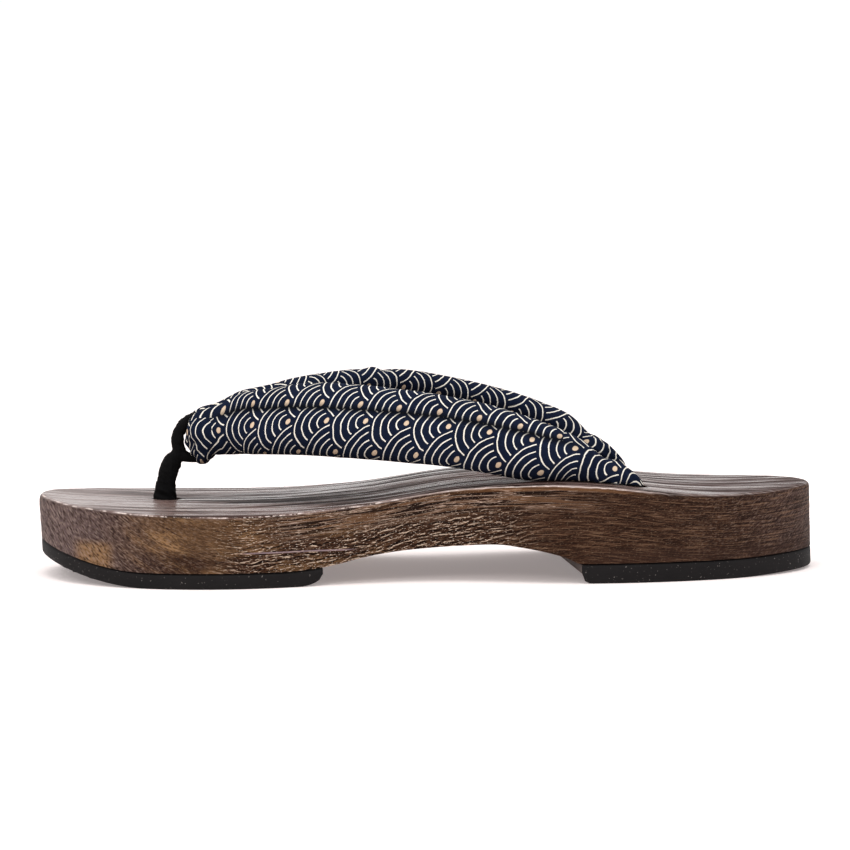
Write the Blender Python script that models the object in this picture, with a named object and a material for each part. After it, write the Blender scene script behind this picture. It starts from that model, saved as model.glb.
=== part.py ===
"""Geta sandal: a carved wooden base on two rubber treads, with a padded V strap and a toe thong.

Metres, +Z up. The toe points to -X and the heel to +X, -Y is the sandal's left side.
The origin is on the floor, under the middle of the base.
"""
import math

import bmesh
import bpy
from mathutils import Vector
from mathutils.geometry import delaunay_2d_cdt

# Base outline, seen from above
BASE_LENGTH = 0.2658     # overall, with the heel's flare
FOREFOOT_WIDTH = 0.1030
WAIST_WIDTH = 0.0764
HEEL_WIDTH = 0.0960
TOE_ROUND = 0.0600       # length of the half ellipse that rounds the toe
HEEL_ROUND = 0.0825      # length of the half ellipse that rounds the heel
WAIST_BEHIND_TOE = 0.1275
TOE_TUCK = 0.0012        # how far the toe wall leans back at its foot
HEEL_FLARE = 0.0008      # how far the heel wall leans out at its foot
LEAN_POWER = 4           # how close to the ends the walls keep that lean

# Base heights
FOREFOOT_HEIGHT = 0.0236
INSTEP_RISE = 0.0087
BED_CROWN = 0.0010
EDGE_RADIUS = 0.0018
ARCH_BEHIND_TOE = 0.0805     # where the arch starts; it ends at the heel tread
ARCH_LIFT = 0.0074

# Rubber treads
FRONT_TREAD = 0.0052
HEEL_TREAD = 0.0066
FRONT_TREAD_LENGTH = 0.0935
HEEL_TREAD_LENGTH = 0.0865
FRONT_TREAD_ROLL = 0.0090       # length of the curve up at its inner end
FRONT_TREAD_ROLL_RISE = 0.66    # height of that curve, as a share of the tread's thickness
TOE_SPRING = 0.0075
TOE_SPRING_LENGTH = 0.0355
TOE_SPRING_CURVE = 1.8   # 1 is a straight ramp, more keeps flat longer and curves up later
HEEL_SPRING = 0.0009
HEEL_SPRING_LENGTH = 0.0370
TREAD_GAP = 0.0003

# Holes through the base
THONG_HOLE_RADIUS = 0.0048
THONG_HOLE_BEHIND_TOE = 0.0430
STRAP_HOLE_RADIUS = 0.0050
STRAP_HOLE_SPREAD = 0.0310
NEAR_HOLE_BEFORE_HEEL = 0.0670
FAR_HOLE_BEFORE_HEEL = 0.0625
RECESS_RADIUS = 0.0095
RECESS_DEPTH = 0.0085

# V strap
STRAP_THICKNESS = 0.0104
LOBE_LENGTH = 0.0165
LOBE_OVERLAP = 0.80      # distance from the crease to a lobe's centre, as a share of its half length
BEND_BEHIND_TOE = 0.0608
BEND_RADIUS = 0.0075
STRAP_RISE = 0.0318      # highest crease of the near arm over the forefoot
APEX_DROP = 0.0047       # how far the core sinks where the thong gathers it
APEX_LOWER_SHARE = 0.42  # lobes and thickness there, as shares of LOBE_LENGTH and STRAP_THICKNESS
APEX_UPPER_SHARE = 0.20
APEX_THICKNESS_SHARE = 0.74
APEX_UPPER_LEAN = 90
BEND_BULGE_SHARE = 0.16  # how much longer the lower lobe is beside the thong
BEND_GATHERED_SHARE = 0.15   # share of the quarter bend, from its middle, that stays gathered
BEND_OPENING_SHARE = 0.65    # share of it over which the section then opens out
STRAP_CLEARANCE = 0.0004
TAIL_RADIUS = 0.0037
TAIL_RISE = 0.0040       # height over the bed where the arm turns down
KNOT_RADIUS = 0.0072
KNOT_HEIGHT = 0.0064
KNOT_CLEARANCE = 0.0005

# Toe thong
STRAND_THICKNESS = 0.0030
STRAND_WIDTH = 0.0044
STRAND_SLACK = 0.0014    # how far the front strand stands off the strap
POST_LENGTHWISE = 0.0071
POST_CROSSWISE = 0.0058
POST_LEAN = 0.0036
LOOP_FRONT_CORNER_POWER = 1.10   # 1 is an ellipse's corner, less is squarer
LOOP_BACK_CORNER_POWER = 0.62
THONG_CLEARANCE = 0.0004

# How finely the forms are divided
OUTLINE_POINTS = 104
OUTLINE_SPLITS = 8
CUT_STEPS = 8
EDGE_STEPS = 3
GRID_STEP = 0.0105
GRID_CLEAR_SHARE = 0.45  # least distance of a grid point from an edge, as a share of GRID_STEP
HOLE_SIDES = 16
LOBE_STEPS = 8
ARM_RINGS = 34
BEND_RINGS = 6
THONG_SIDES = 12
LOOP_RINGS = 28
POST_RINGS = 9
TAIL_RINGS = 6
HEADING_STEP_SHARE = 0.02    # step along a curve by which its direction is measured

TOE_TIP = -BASE_LENGTH / 2
HEEL_TIP = BASE_LENGTH / 2 - HEEL_FLARE
ARCH_START = TOE_TIP + ARCH_BEHIND_TOE
HEEL_TREAD_START = HEEL_TIP - HEEL_TREAD_LENGTH

# Rise of the bed, over the forefoot, as a share of INSTEP_RISE
BED_TABLE = (
    # station, rise
    (0.000, 0.31),
    (0.040, 0.20),
    (0.090, 0.11),
    (0.150, 0.03),
    (0.210, 0.00),
    (0.270, 0.00),
    (0.320, 0.05),
    (0.370, 0.16),
    (0.425, 0.33),
    (0.470, 0.54),
    (0.520, 0.76),
    (0.575, 0.91),
    (0.620, 0.99),
    (0.655, 1.00),
    (0.700, 0.93),
    (0.750, 0.76),
    (0.800, 0.59),
    (0.850, 0.50),
    (0.900, 0.48),
    (0.950, 0.52),
    (1.000, 0.57),
)

# Height of the arch under the base, as a share of ARCH_LIFT
ARCH_TABLE = (
    # station, lift
    (0.00, 0.00),
    (0.07, 0.05),
    (0.14, 0.14),
    (0.20, 0.28),
    (0.26, 0.46),
    (0.38, 0.70),
    (0.50, 0.84),
    (0.62, 0.95),
    (0.73, 1.00),
    (0.81, 0.87),
    (0.88, 0.70),
    (0.95, 0.45),
    (1.00, 0.19),
)

# One arm of the strap, from the bend at the toe thong to its hole. Rises are shares of STRAP_RISE,
# lobes of LOBE_LENGTH and thickness of STRAP_THICKNESS. Leans are degrees from upright.
ARM_TABLE = (
    # along, out, near_rise, far_rise, lower, upper, thickness, lower_lean, upper_lean
    (0.00, 0.00, 0.880, 0.880, 0.82, 0.28, 0.78, 6, 70),
    (0.06, 0.14, 0.950, 0.955, 0.90, 0.62, 0.86, 10, 64),
    (0.14, 0.34, 0.990, 1.010, 0.97, 0.87, 0.94, 14, 59),
    (0.22, 0.50, 1.000, 1.052, 1.00, 0.95, 1.00, 16, 58),
    (0.33, 0.68, 0.982, 1.100, 1.02, 0.96, 1.00, 17, 59),
    (0.44, 0.83, 0.948, 1.100, 1.02, 0.94, 1.00, 17, 61),
    (0.55, 0.95, 0.897, 1.040, 1.00, 0.90, 1.00, 16, 64),
    (0.66, 1.04, 0.815, 0.955, 0.98, 0.85, 1.00, 14, 68),
    (0.77, 1.09, 0.705, 0.845, 0.92, 0.76, 0.98, 12, 76),
    (0.86, 1.08, 0.590, 0.700, 0.80, 0.62, 0.92, 10, 84),
    (0.93, 1.04, 0.400, 0.480, 0.62, 0.44, 0.80, 6, 80),
)

# The post of the toe thong from the bed up to its loop. Leans are shares of POST_LEAN.
POST_TABLE = (
    # rise, lean, lengthwise, crosswise
    (0.00, 0.00, 1.00, 1.00),
    (0.20, 0.00, 0.92, 0.97),
    (0.42, 0.08, 0.82, 0.93),
    (0.65, 0.30, 0.83, 0.90),
    (0.82, 0.62, 0.76, 0.88),
    (1.00, 1.00, 0.52, 0.74),
)

# A knot under the base, from its neck down. Widths are shares of the knot's radius.
KNOT_TABLE = (
    # depth, width
    (0.06, 0.72),
    (0.25, 0.96),
    (0.50, 1.00),
    (0.78, 0.82),
    (1.00, 0.45),
)


def hermite(table, at, column):
    """Read one column of a table at a station, on a smooth curve through its rows."""
    if at <= table[0][0]:
        return table[0][column]
    if at >= table[-1][0]:
        return table[-1][column]
    index = 0
    while table[index + 1][0] < at:
        index += 1
    here, there = table[index], table[index + 1]
    step = there[0] - here[0]

    def slope(which):
        if which == 0 or which == len(table) - 1:
            return 0.0
        before, after = table[which - 1], table[which + 1]
        return (after[column] - before[column]) / (after[0] - before[0])

    t = (at - here[0]) / step
    start, end = here[column], there[column]
    start_slope, end_slope = slope(index) * step, slope(index + 1) * step
    return (
        start * (2 * t**3 - 3 * t**2 + 1)
        + start_slope * (t**3 - 2 * t**2 + t)
        + end * (3 * t**2 - 2 * t**3)
        + end_slope * (t**3 - t**2)
    )


def half_wave(share):
    return 0.5 - 0.5 * math.cos(math.pi * min(max(share, 0.0), 1.0))


def half_width(x):
    """Half the width of the base at a length x: two half ellipses and a drawn-in waist."""
    forefoot = TOE_TIP + TOE_ROUND
    waist = TOE_TIP + WAIST_BEHIND_TOE
    heel = HEEL_TIP - HEEL_ROUND
    if x < forefoot:
        return FOREFOOT_WIDTH / 2 * math.sqrt(max(0.0, 1 - ((forefoot - x) / TOE_ROUND) ** 2))
    if x < waist:
        drawn_in = half_wave((x - forefoot) / (waist - forefoot))
        return (FOREFOOT_WIDTH - (FOREFOOT_WIDTH - WAIST_WIDTH) * drawn_in) / 2
    if x < heel:
        let_out = half_wave((x - waist) / (heel - waist))
        return (WAIST_WIDTH + (HEEL_WIDTH - WAIST_WIDTH) * let_out) / 2
    return HEEL_WIDTH / 2 * math.sqrt(max(0.0, 1 - ((x - heel) / HEEL_ROUND) ** 2))


def bed_height(x, y):
    rise = hermite(BED_TABLE, (x - TOE_TIP) / (HEEL_TIP - TOE_TIP), 1)
    crown = BED_CROWN * (1 - (y / (FOREFOOT_WIDTH / 2)) ** 2)
    return FOREFOOT_HEIGHT + INSTEP_RISE * rise + crown


def floor_gap(x):
    """How far the treads' underside curves up off the floor at the toe and at the heel."""
    toe_start = TOE_TIP + TOE_SPRING_LENGTH
    heel_start = HEEL_TIP - HEEL_SPRING_LENGTH
    if x < toe_start:
        return TOE_SPRING * ((toe_start - x) / TOE_SPRING_LENGTH) ** TOE_SPRING_CURVE
    if x > heel_start:
        return HEEL_SPRING * half_wave((x - heel_start) / HEEL_SPRING_LENGTH)
    return 0.0


def underside_height(x):
    """Underside of the wood: along both treads, and over the arch between them."""
    station = (x - ARCH_START) / (HEEL_TREAD_START - ARCH_START)
    if station <= 0:
        return FRONT_TREAD + floor_gap(x)
    if station >= 1:
        return HEEL_TREAD + floor_gap(x)
    lift = hermite(ARCH_TABLE, station, 1) * ARCH_LIFT
    last_lift = ARCH_TABLE[-1][1] * ARCH_LIFT
    return FRONT_TREAD + lift + (HEEL_TREAD - FRONT_TREAD - last_lift) * station


def wall_lean(x, z):
    """Shift along X of the side wall below the bed: the toe tucks under, the heel flares."""
    depth = 1 - min(max(z / FOREFOOT_HEIGHT, 0.0), 1.0)
    toe_share = max(0.0, x / TOE_TIP) ** LEAN_POWER
    heel_share = max(0.0, x / HEEL_TIP) ** LEAN_POWER
    return depth * (TOE_TUCK * toe_share + HEEL_FLARE * heel_share)


def base_outline(inset, first=TOE_TIP, last=HEEL_TIP):
    """Points round the base between two lengths, anticlockwise from above, moved in by inset."""
    points = []
    for index in range(OUTLINE_POINTS):
        angle = 2 * math.pi * index / OUTLINE_POINTS
        x = (TOE_TIP + HEEL_TIP) / 2 + (TOE_TIP - HEEL_TIP) / 2 * math.cos(angle)
        side = -1 if angle < math.pi else 1
        points.append(Vector((x, side * half_width(x), 0)))
    points = even_spacing(points, OUTLINE_POINTS)
    if first > TOE_TIP or last < HEEL_TIP:
        points = cut_outline(points, first, last)
    return [point.xy for point in inset_loop(points, inset)]


def even_spacing(points, count):
    """Points at even steps along a closed loop, starting at its first point."""
    fine = []
    for index, point in enumerate(points):
        after = points[(index + 1) % len(points)]
        for step in range(OUTLINE_SPLITS):
            x = point.x + (after.x - point.x) * step / OUTLINE_SPLITS
            side = -1 if index < len(points) / 2 else 1
            fine.append(Vector((x, side * half_width(x), 0)))
    fine.append(fine[0].copy())
    lengths = [0.0]
    for before, after in zip(fine, fine[1:]):
        lengths.append(lengths[-1] + (after - before).length)
    spaced = []
    index = 0
    for number in range(count):
        target = lengths[-1] * number / count
        while lengths[index + 1] < target:
            index += 1
        share = (target - lengths[index]) / (lengths[index + 1] - lengths[index])
        spaced.append(fine[index].lerp(fine[index + 1], share))
    return spaced


def cut_outline(points, first, last):
    """The part of the outline between two lengths, closed by a straight row across each cut."""
    near = sorted((p for p in points if p.y < 0 and first < p.x < last), key=lambda p: p.x)
    far = sorted((p for p in points if p.y >= 0 and first < p.x < last), key=lambda p: -p.x)
    loop = []
    if first > TOE_TIP:
        loop += cut_row(first, 1)
    loop += near
    if last < HEEL_TIP:
        loop += cut_row(last, -1)
    loop += far
    return loop


def cut_row(x, from_side):
    """A row of points straight across the base at x, from one side to the other."""
    width = half_width(x) * from_side
    return [Vector((x, width * (1 - 2 * step / CUT_STEPS), 0)) for step in range(CUT_STEPS + 1)]


def inset_loop(points, inset):
    if not inset:
        return points
    moved = []
    for index, point in enumerate(points):
        along = points[(index + 1) % len(points)] - points[index - 1]
        inward = Vector((-along.y, along.x, 0)).normalized()
        moved.append(point + inward * inset)
    return moved


def circle(centre, radius, sides=HOLE_SIDES):
    turn = 2 * math.pi / sides
    return [
        Vector((centre[0] + radius * math.cos(turn * i), centre[1] + radius * math.sin(turn * i)))
        for i in range(sides)
    ]


def inside_loop(point, loop):
    crossings = 0
    for index, after in enumerate(loop):
        before = loop[index - 1]
        if (before.y > point.y) != (after.y > point.y):
            share = (point.y - before.y) / (after.y - before.y)
            if point.x < before.x + share * (after.x - before.x):
                crossings += 1
    return crossings % 2 == 1


def grid_points(loop, holes):
    """Points on a square grid inside a loop, clear of its edge and of the holes."""
    clear = GRID_STEP * GRID_CLEAR_SHARE
    found = []
    low_x = min(p.x for p in loop)
    high_x = max(p.x for p in loop)
    widest = max(p.y for p in loop)
    columns = int((high_x - low_x) / GRID_STEP)
    rows = int(2 * widest / GRID_STEP)
    for column in range(1, columns + 1):
        for row in range(rows + 1):
            x = low_x + (high_x - low_x) * column / (columns + 1)
            y = widest * (2 * row / rows - 1)
            point = Vector((x, y))
            if not inside_loop(point, loop):
                continue
            edges = list(loop)
            for hole in holes:
                edges += hole
            if any(inside_loop(point, hole) for hole in holes):
                continue
            if min((point - edge).length for edge in edges) > clear:
                found.append(point)
    return found


def sheet(mesh, loop, holes, height, facing_up):
    """Fill a loop with holes by triangles at height(x, y). Return the loop's and holes' vertices."""
    points = list(loop)
    edges = [(i, (i + 1) % len(loop)) for i in range(len(loop))]
    for hole in holes:
        start = len(points)
        points += hole
        edges += [(start + i, start + (i + 1) % len(hole)) for i in range(len(hole))]
    ring_count = len(points)
    points += grid_points(loop, holes)
    places, _, triangles, _, _, _ = delaunay_2d_cdt(points, edges, [], 1, 1e-7)
    made = [mesh.verts.new((p.x, p.y, height(p.x, p.y))) for p in places]
    for triangle in triangles:
        middle = sum((places[i] for i in triangle), Vector((0, 0))) / 3
        if any(inside_loop(middle, hole) for hole in holes):
            continue
        corners = [made[i] for i in triangle]
        mesh.faces.new(corners if facing_up else reversed(corners))
    rings = [made[:len(loop)]]
    start = len(loop)
    for hole in holes:
        rings.append(made[start:start + len(hole)])
        start += len(hole)
    if start != ring_count:
        raise ValueError("a loop lost points")
    return rings


def ring_at(mesh, points, height):
    return [mesh.verts.new((p.x, p.y, height(p.x, p.y))) for p in points]


def wall(mesh, upper, lower):
    """Join two rings that run anticlockwise, the upper one above, with faces pointing out."""
    count = len(upper)
    for i in range(count):
        after = (i + 1) % count
        mesh.faces.new((lower[i], lower[after], upper[after], upper[i]))


def hole_wall(mesh, upper, lower):
    """The same for a hole, whose faces point to its own axis."""
    count = len(upper)
    for i in range(count):
        after = (i + 1) % count
        mesh.faces.new((upper[i], upper[after], lower[after], lower[i]))


def material(name, colour, roughness):
    made = bpy.data.materials.new(name)
    made.use_nodes = True
    shader = made.node_tree.nodes["Principled BSDF"]
    shader.inputs["Base Color"].default_value = (*colour, 1)
    shader.inputs["Roughness"].default_value = roughness
    shader.inputs["Metallic"].default_value = 0
    return made


def add_object(name, mesh, made_of, sharp_angle=35):
    bmesh.ops.triangulate(mesh, faces=mesh.faces[:])
    data = bpy.data.meshes.new(name)
    mesh.to_mesh(data)
    mesh.free()
    data.shade_smooth()
    data.set_sharp_from_angle(angle=math.radians(sharp_angle))
    data.materials.append(made_of)
    made = bpy.data.objects.new(name, data)
    bpy.context.collection.objects.link(made)
    return made


def hole_places():
    """Centre and radius of each hole through the base: thong, near arm, far arm."""
    return (
        ((TOE_TIP + THONG_HOLE_BEHIND_TOE, 0.0), THONG_HOLE_RADIUS),
        ((HEEL_TIP - NEAR_HOLE_BEFORE_HEEL, -STRAP_HOLE_SPREAD), STRAP_HOLE_RADIUS),
        ((HEEL_TIP - FAR_HOLE_BEFORE_HEEL, STRAP_HOLE_SPREAD), STRAP_HOLE_RADIUS),
    )


def recess_ceiling(centre):
    return underside_height(centre[0]) + RECESS_DEPTH


def leaned(points, height):
    """Shift points of the outline with the lean of the wall at their own heights."""
    return [p + Vector((wall_lean(p.x, height(p.x, p.y)), 0)) for p in points]


def wooden_base(made_of):
    mesh = bmesh.new()
    holes = hole_places()
    bores = [circle(centre, radius) for centre, radius in holes]
    recesses = [circle(centre, RECESS_RADIUS) for centre, _ in holes]
    top = sheet(mesh, base_outline(EDGE_RADIUS), bores, bed_height, True)
    upper = top[0]
    for step in range(1, EDGE_STEPS + 1):
        angle = math.pi / 2 * step / EDGE_STEPS
        drop = EDGE_RADIUS * (1 - math.cos(angle))
        points = base_outline(EDGE_RADIUS * (1 - math.sin(angle)))
        lower = ring_at(mesh, points, lambda x, y, drop=drop: bed_height(x, y) - drop)
        wall(mesh, upper, lower)
        upper = lower
    outline = base_outline(0)
    for share in (0.5, 0.0):
        def height(x, y, share=share):
            low = underside_height(x)
            return low + (bed_height(x, y) - EDGE_RADIUS - low) * share
        points = leaned(outline, height)
        if share:
            lower = ring_at(mesh, points, height)
            wall(mesh, upper, lower)
            upper = lower
    below = sheet(mesh, points, recesses, lambda x, y: underside_height(x), False)
    wall(mesh, upper, below[0])
    for index, (centre, _) in enumerate(holes):
        ceiling = recess_ceiling(centre)
        bore = ring_at(mesh, bores[index], lambda x, y: ceiling)
        recess = ring_at(mesh, recesses[index], lambda x, y: ceiling)
        hole_wall(mesh, top[index + 1], bore)
        hole_wall(mesh, bore, recess)
        hole_wall(mesh, recess, below[index + 1])
    return add_object("wooden_base", mesh, made_of)


def tread(name, first, last, roll, made_of):
    """A rubber tread under one end of the base, its inner end rolled up by roll."""
    mesh = bmesh.new()
    outline = base_outline(0, first, last)
    holes = [
        circle(centre, RECESS_RADIUS)
        for centre, _ in hole_places()
        if first < centre[0] < last
    ]

    def underside(x, y):
        low = floor_gap(x)
        if roll and x > last - roll:
            share = min((x - last + roll) / roll, 1.0)
            high = underside_height(x) - TREAD_GAP
            low += (high - low) * FRONT_TREAD_ROLL_RISE * (1 - math.sqrt(1 - share**2))
        return low

    def topside(x, y):
        return underside_height(x) - TREAD_GAP

    top = sheet(mesh, leaned(outline, topside), holes, topside, True)
    bottom = sheet(mesh, leaned(outline, underside), holes, underside, False)
    wall(mesh, top[0], bottom[0])
    for upper, lower in zip(top[1:], bottom[1:]):
        hole_wall(mesh, upper, lower)
    return add_object(name, mesh, made_of)


def strap_section(lower, upper, thickness, lower_lean, upper_lean):
    """Outline of the strap across an arm, as (out, up) pairs from its core.

    Two padded lobes meet at a crease. It starts at the outer crease and runs down round
    the lower lobe, past the inner crease and over the upper lobe.
    """
    half = thickness / 2
    crease_angle = math.acos(LOBE_OVERLAP)
    down = Vector((math.sin(lower_lean), -math.cos(lower_lean)))
    up = Vector((-math.sin(upper_lean), math.cos(upper_lean)))
    outward = Vector((math.cos(lower_lean), math.sin(lower_lean)))
    upward = Vector((math.cos(upper_lean), math.sin(upper_lean)))
    crease = (outward + upward).normalized() * half * math.sin(crease_angle)
    points = [crease]
    for step in range(1, LOBE_STEPS):
        turn = (math.pi - crease_angle) * (1 - 2 * step / LOBE_STEPS)
        along = lower / 2 * (LOBE_OVERLAP + math.cos(turn))
        points.append(down * along + outward * half * math.sin(turn))
    points.append(-crease)
    for step in range(1, LOBE_STEPS):
        turn = (math.pi - crease_angle) * (1 - 2 * step / LOBE_STEPS)
        along = upper / 2 * (LOBE_OVERLAP + math.cos(turn))
        points.append(up * along - upward * half * math.sin(turn))
    return points


def arm_core(along, side):
    """Core of one arm at a share of its run from the bend to its hole."""
    hole, _ = hole_places()[2 if side > 0 else 1]
    start = TOE_TIP + BEND_BEHIND_TOE
    run = hole[0] - start
    out = BEND_RADIUS + (STRAP_HOLE_SPREAD - BEND_RADIUS) * hermite(ARM_TABLE, along, 1)
    rise = STRAP_RISE * hermite(ARM_TABLE, along, 3 if side > 0 else 2)
    return Vector((start + run * along, side * out, FOREFOOT_HEIGHT + rise))


def arm_rings(side):
    """Rings of one arm, from the middle of the bend to the knot under the base."""
    rings = []
    bend = Vector((TOE_TIP + BEND_BEHIND_TOE, 0, 0))
    first = ARM_TABLE[0]
    first_core = arm_core(0, side)
    for step in range(BEND_RINGS):
        share = step / BEND_RINGS
        full = half_wave((share - BEND_GATHERED_SHARE) / BEND_OPENING_SHARE)
        turn = math.radians(90) * share
        outward = Vector((-math.cos(turn), side * math.sin(turn), 0))
        core = bend + outward * BEND_RADIUS
        core.z = first_core.z - APEX_DROP * (1 - full)
        bulge = BEND_BULGE_SHARE * math.sin(math.pi * full)
        section = strap_section(
            LOBE_LENGTH * (APEX_LOWER_SHARE + (first[4] - APEX_LOWER_SHARE) * full + bulge),
            LOBE_LENGTH * (APEX_UPPER_SHARE + (first[5] - APEX_UPPER_SHARE) * full),
            STRAP_THICKNESS * (APEX_THICKNESS_SHARE + (first[6] - APEX_THICKNESS_SHARE) * full),
            math.radians(first[7] * full),
            math.radians(APEX_UPPER_LEAN + (first[8] - APEX_UPPER_LEAN) * full),
        )
        rings.append([core + outward * out + Vector((0, 0, up)) for out, up in section])
    last_along = ARM_TABLE[-1][0]
    for step in range(ARM_RINGS):
        along = last_along * step / (ARM_RINGS - 1)
        core = arm_core(along, side)
        ahead = arm_core(min(along + HEADING_STEP_SHARE, last_along), side)
        behind = arm_core(max(along - HEADING_STEP_SHARE, 0), side)
        heading = (ahead - behind).normalized()
        flat = Vector((heading.x, heading.y, 0)).normalized()
        outward = Vector((flat.y, -flat.x, 0)) * -side
        upward = outward.cross(heading) * -side
        lower, upper, thickness, lower_lean, upper_lean = (
            hermite(ARM_TABLE, along, column) for column in range(4, 9)
        )
        section = strap_section(
            LOBE_LENGTH * lower,
            LOBE_LENGTH * upper,
            STRAP_THICKNESS * thickness,
            math.radians(lower_lean),
            math.radians(upper_lean),
        )
        rings.append([core + outward * out + upward * up for out, up in section])
    return rings


def tail_rings(side, last_ring):
    """Rings that take an arm down into its hole and end in a knot in the recess."""
    hole, bore = hole_places()[2 if side > 0 else 1]
    start = arm_core(ARM_TABLE[-1][0], side)
    mouth = bed_height(*hole)
    turn_down = Vector((*hole, mouth + TAIL_RISE))
    inside = Vector((*hole, mouth + STRAP_CLEARANCE))
    flat = Vector((turn_down.x - start.x, turn_down.y - start.y, 0)).normalized()
    outward = Vector((flat.y, -flat.x, 0)) * -side
    sides = len(last_ring)
    spread = [point - start for point in last_ring]
    rings = []
    for step in range(1, TAIL_RINGS + 1):
        t = step / TAIL_RINGS
        core = start * (1 - t) ** 2 + turn_down * 2 * t * (1 - t) + inside * t**2
        heading = ((turn_down - start) * (1 - t) + (inside - turn_down) * t).normalized()
        upward = outward.cross(heading) * -side
        ring = []
        for index in range(sides):
            angle = 2 * math.pi * index / sides
            round_point = (outward * math.cos(angle) - upward * math.sin(angle)) * TAIL_RADIUS
            ring.append(core + spread[index].lerp(round_point, half_wave(t)))
        rings.append(ring)
    rings = [[laid_on_bed(point) for point in ring] for ring in rings]
    ceiling = recess_ceiling(hole)
    neck = [(Vector((*hole, height)), TAIL_RADIUS) for height in (mouth - bore / 2, ceiling)]
    for depth, width in KNOT_TABLE:
        low = ceiling - KNOT_CLEARANCE - depth * KNOT_HEIGHT
        neck.append((Vector((*hole, low)), KNOT_RADIUS * width))
    for core, radius in neck:
        ring = []
        for index in range(sides):
            angle = 2 * math.pi * index / sides
            ring.append(core + (outward * math.cos(angle) - flat * math.sin(angle)) * radius)
        rings.append(ring)
    return rings


def laid_on_bed(point):
    """Lift a point of the strap that would sink into the bed."""
    lowest = bed_height(point.x, point.y) + STRAP_CLEARANCE
    return Vector((point.x, point.y, max(point.z, lowest)))


def skin(mesh, rings, closed=False):
    """Join rings of equal count into a tube, its ends capped unless it is closed."""
    made = [[mesh.verts.new(point) for point in ring] for ring in rings]
    pairs = list(zip(made, made[1:]))
    if closed:
        pairs.append((made[-1], made[0]))
    for ring, after in pairs:
        count = len(ring)
        for i in range(count):
            j = (i + 1) % count
            mesh.faces.new((ring[i], ring[j], after[j], after[i]))
    if not closed:
        mesh.faces.new(reversed(made[0]))
        mesh.faces.new(made[-1])


def strap(made_of):
    mesh = bmesh.new()
    arms = []
    for side in (-1, 1):
        rings = arm_rings(side)
        tail = tail_rings(side, rings[-1])
        arms.append([[laid_on_bed(point) for point in ring] for ring in rings] + tail)
    skin(mesh, list(reversed(arms[0])) + arms[1][1:])
    bmesh.ops.recalc_face_normals(mesh, faces=mesh.faces[:])
    return add_object("strap", mesh, made_of, 60)


def apex_box():
    """Front, back, top and bottom of the strap where the thong goes round it."""
    ring = arm_rings(1)[0]
    return (
        min(point.x for point in ring),
        max(point.x for point in ring),
        max(point.z for point in ring),
        min(point.z for point in ring),
    )


def loop_rings():
    """Rings of the strand that goes up in front of the strap, over it and down behind it."""
    front, back, top, bottom = apex_box()
    reach = THONG_CLEARANCE + STRAND_THICKNESS / 2
    front -= reach + STRAND_SLACK
    back += reach
    top += reach
    bottom -= reach
    middle = Vector(((front + back) / 2, 0, (top + bottom) / 2))
    long, tall = (back - front) / 2, (top - bottom) / 2

    def core(turn):
        across, up = math.cos(turn), math.sin(turn)
        corners = LOOP_FRONT_CORNER_POWER if across < 0 else LOOP_BACK_CORNER_POWER
        return middle + Vector((
            math.copysign(abs(across) ** corners, across) * long,
            0,
            math.copysign(abs(up) ** corners, up) * tall,
        ))

    rings = []
    for step in range(LOOP_RINGS):
        turn = 2 * math.pi * (step + 0.5) / LOOP_RINGS
        heading = (core(turn + HEADING_STEP_SHARE) - core(turn - HEADING_STEP_SHARE)).normalized()
        outward = Vector((heading.z, 0, -heading.x))
        rings.append(oval(core(turn), outward, STRAND_THICKNESS, STRAND_WIDTH))
    return rings


def oval(core, outward, thickness, width):
    ring = []
    for index in range(THONG_SIDES):
        angle = 2 * math.pi * index / THONG_SIDES
        across = outward * math.cos(angle) * thickness / 2
        ring.append(core + across + Vector((0, math.sin(angle) * width / 2, 0)))
    return ring


def post_rings():
    """Rings of the thong from inside its loop, down through the bed to the knot."""
    hole, _ = hole_places()[0]
    mouth = bed_height(*hole)
    height = apex_box()[3] - mouth

    def core(rise):
        lean = POST_LEAN * hermite(POST_TABLE, rise, 1)
        return Vector((hole[0] + lean, 0, mouth + height * rise))

    rings = []
    for step in range(POST_RINGS, -1, -1):
        rise = step / POST_RINGS
        above = core(min(rise + HEADING_STEP_SHARE, 1))
        below = core(max(rise - HEADING_STEP_SHARE, 0))
        heading = (below - above).normalized()
        outward = Vector((heading.z, 0, -heading.x))
        lengthwise = POST_LENGTHWISE * hermite(POST_TABLE, rise, 2)
        crosswise = POST_CROSSWISE * hermite(POST_TABLE, rise, 3)
        rings.append(oval(core(rise), outward, lengthwise, crosswise))
    ceiling = recess_ceiling(hole)
    back = Vector((-1, 0, 0))
    for height in (mouth - THONG_HOLE_RADIUS / 2, ceiling):
        core = Vector((*hole, height))
        rings.append(oval(core, back, POST_CROSSWISE, POST_CROSSWISE))
    for depth, width in KNOT_TABLE:
        core = Vector((*hole, ceiling - KNOT_CLEARANCE - depth * KNOT_HEIGHT))
        rings.append(oval(core, back, 2 * KNOT_RADIUS * width, 2 * KNOT_RADIUS * width))
    return rings


def toe_thong(made_of):
    loop_mesh = bmesh.new()
    skin(loop_mesh, loop_rings(), closed=True)
    bmesh.ops.recalc_face_normals(loop_mesh, faces=loop_mesh.faces[:])
    loop = add_object("thong_loop_form", loop_mesh, made_of, 60)
    loop.hide_render = True
    loop.display_type = "WIRE"
    post_mesh = bmesh.new()
    skin(post_mesh, post_rings())
    bmesh.ops.recalc_face_normals(post_mesh, faces=post_mesh.faces[:])
    thong = add_object("toe_thong", post_mesh, made_of, 60)
    joined = thong.modifiers.new("loop", "BOOLEAN")
    joined.operation = "UNION"
    joined.object = loop
    return thong


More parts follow.
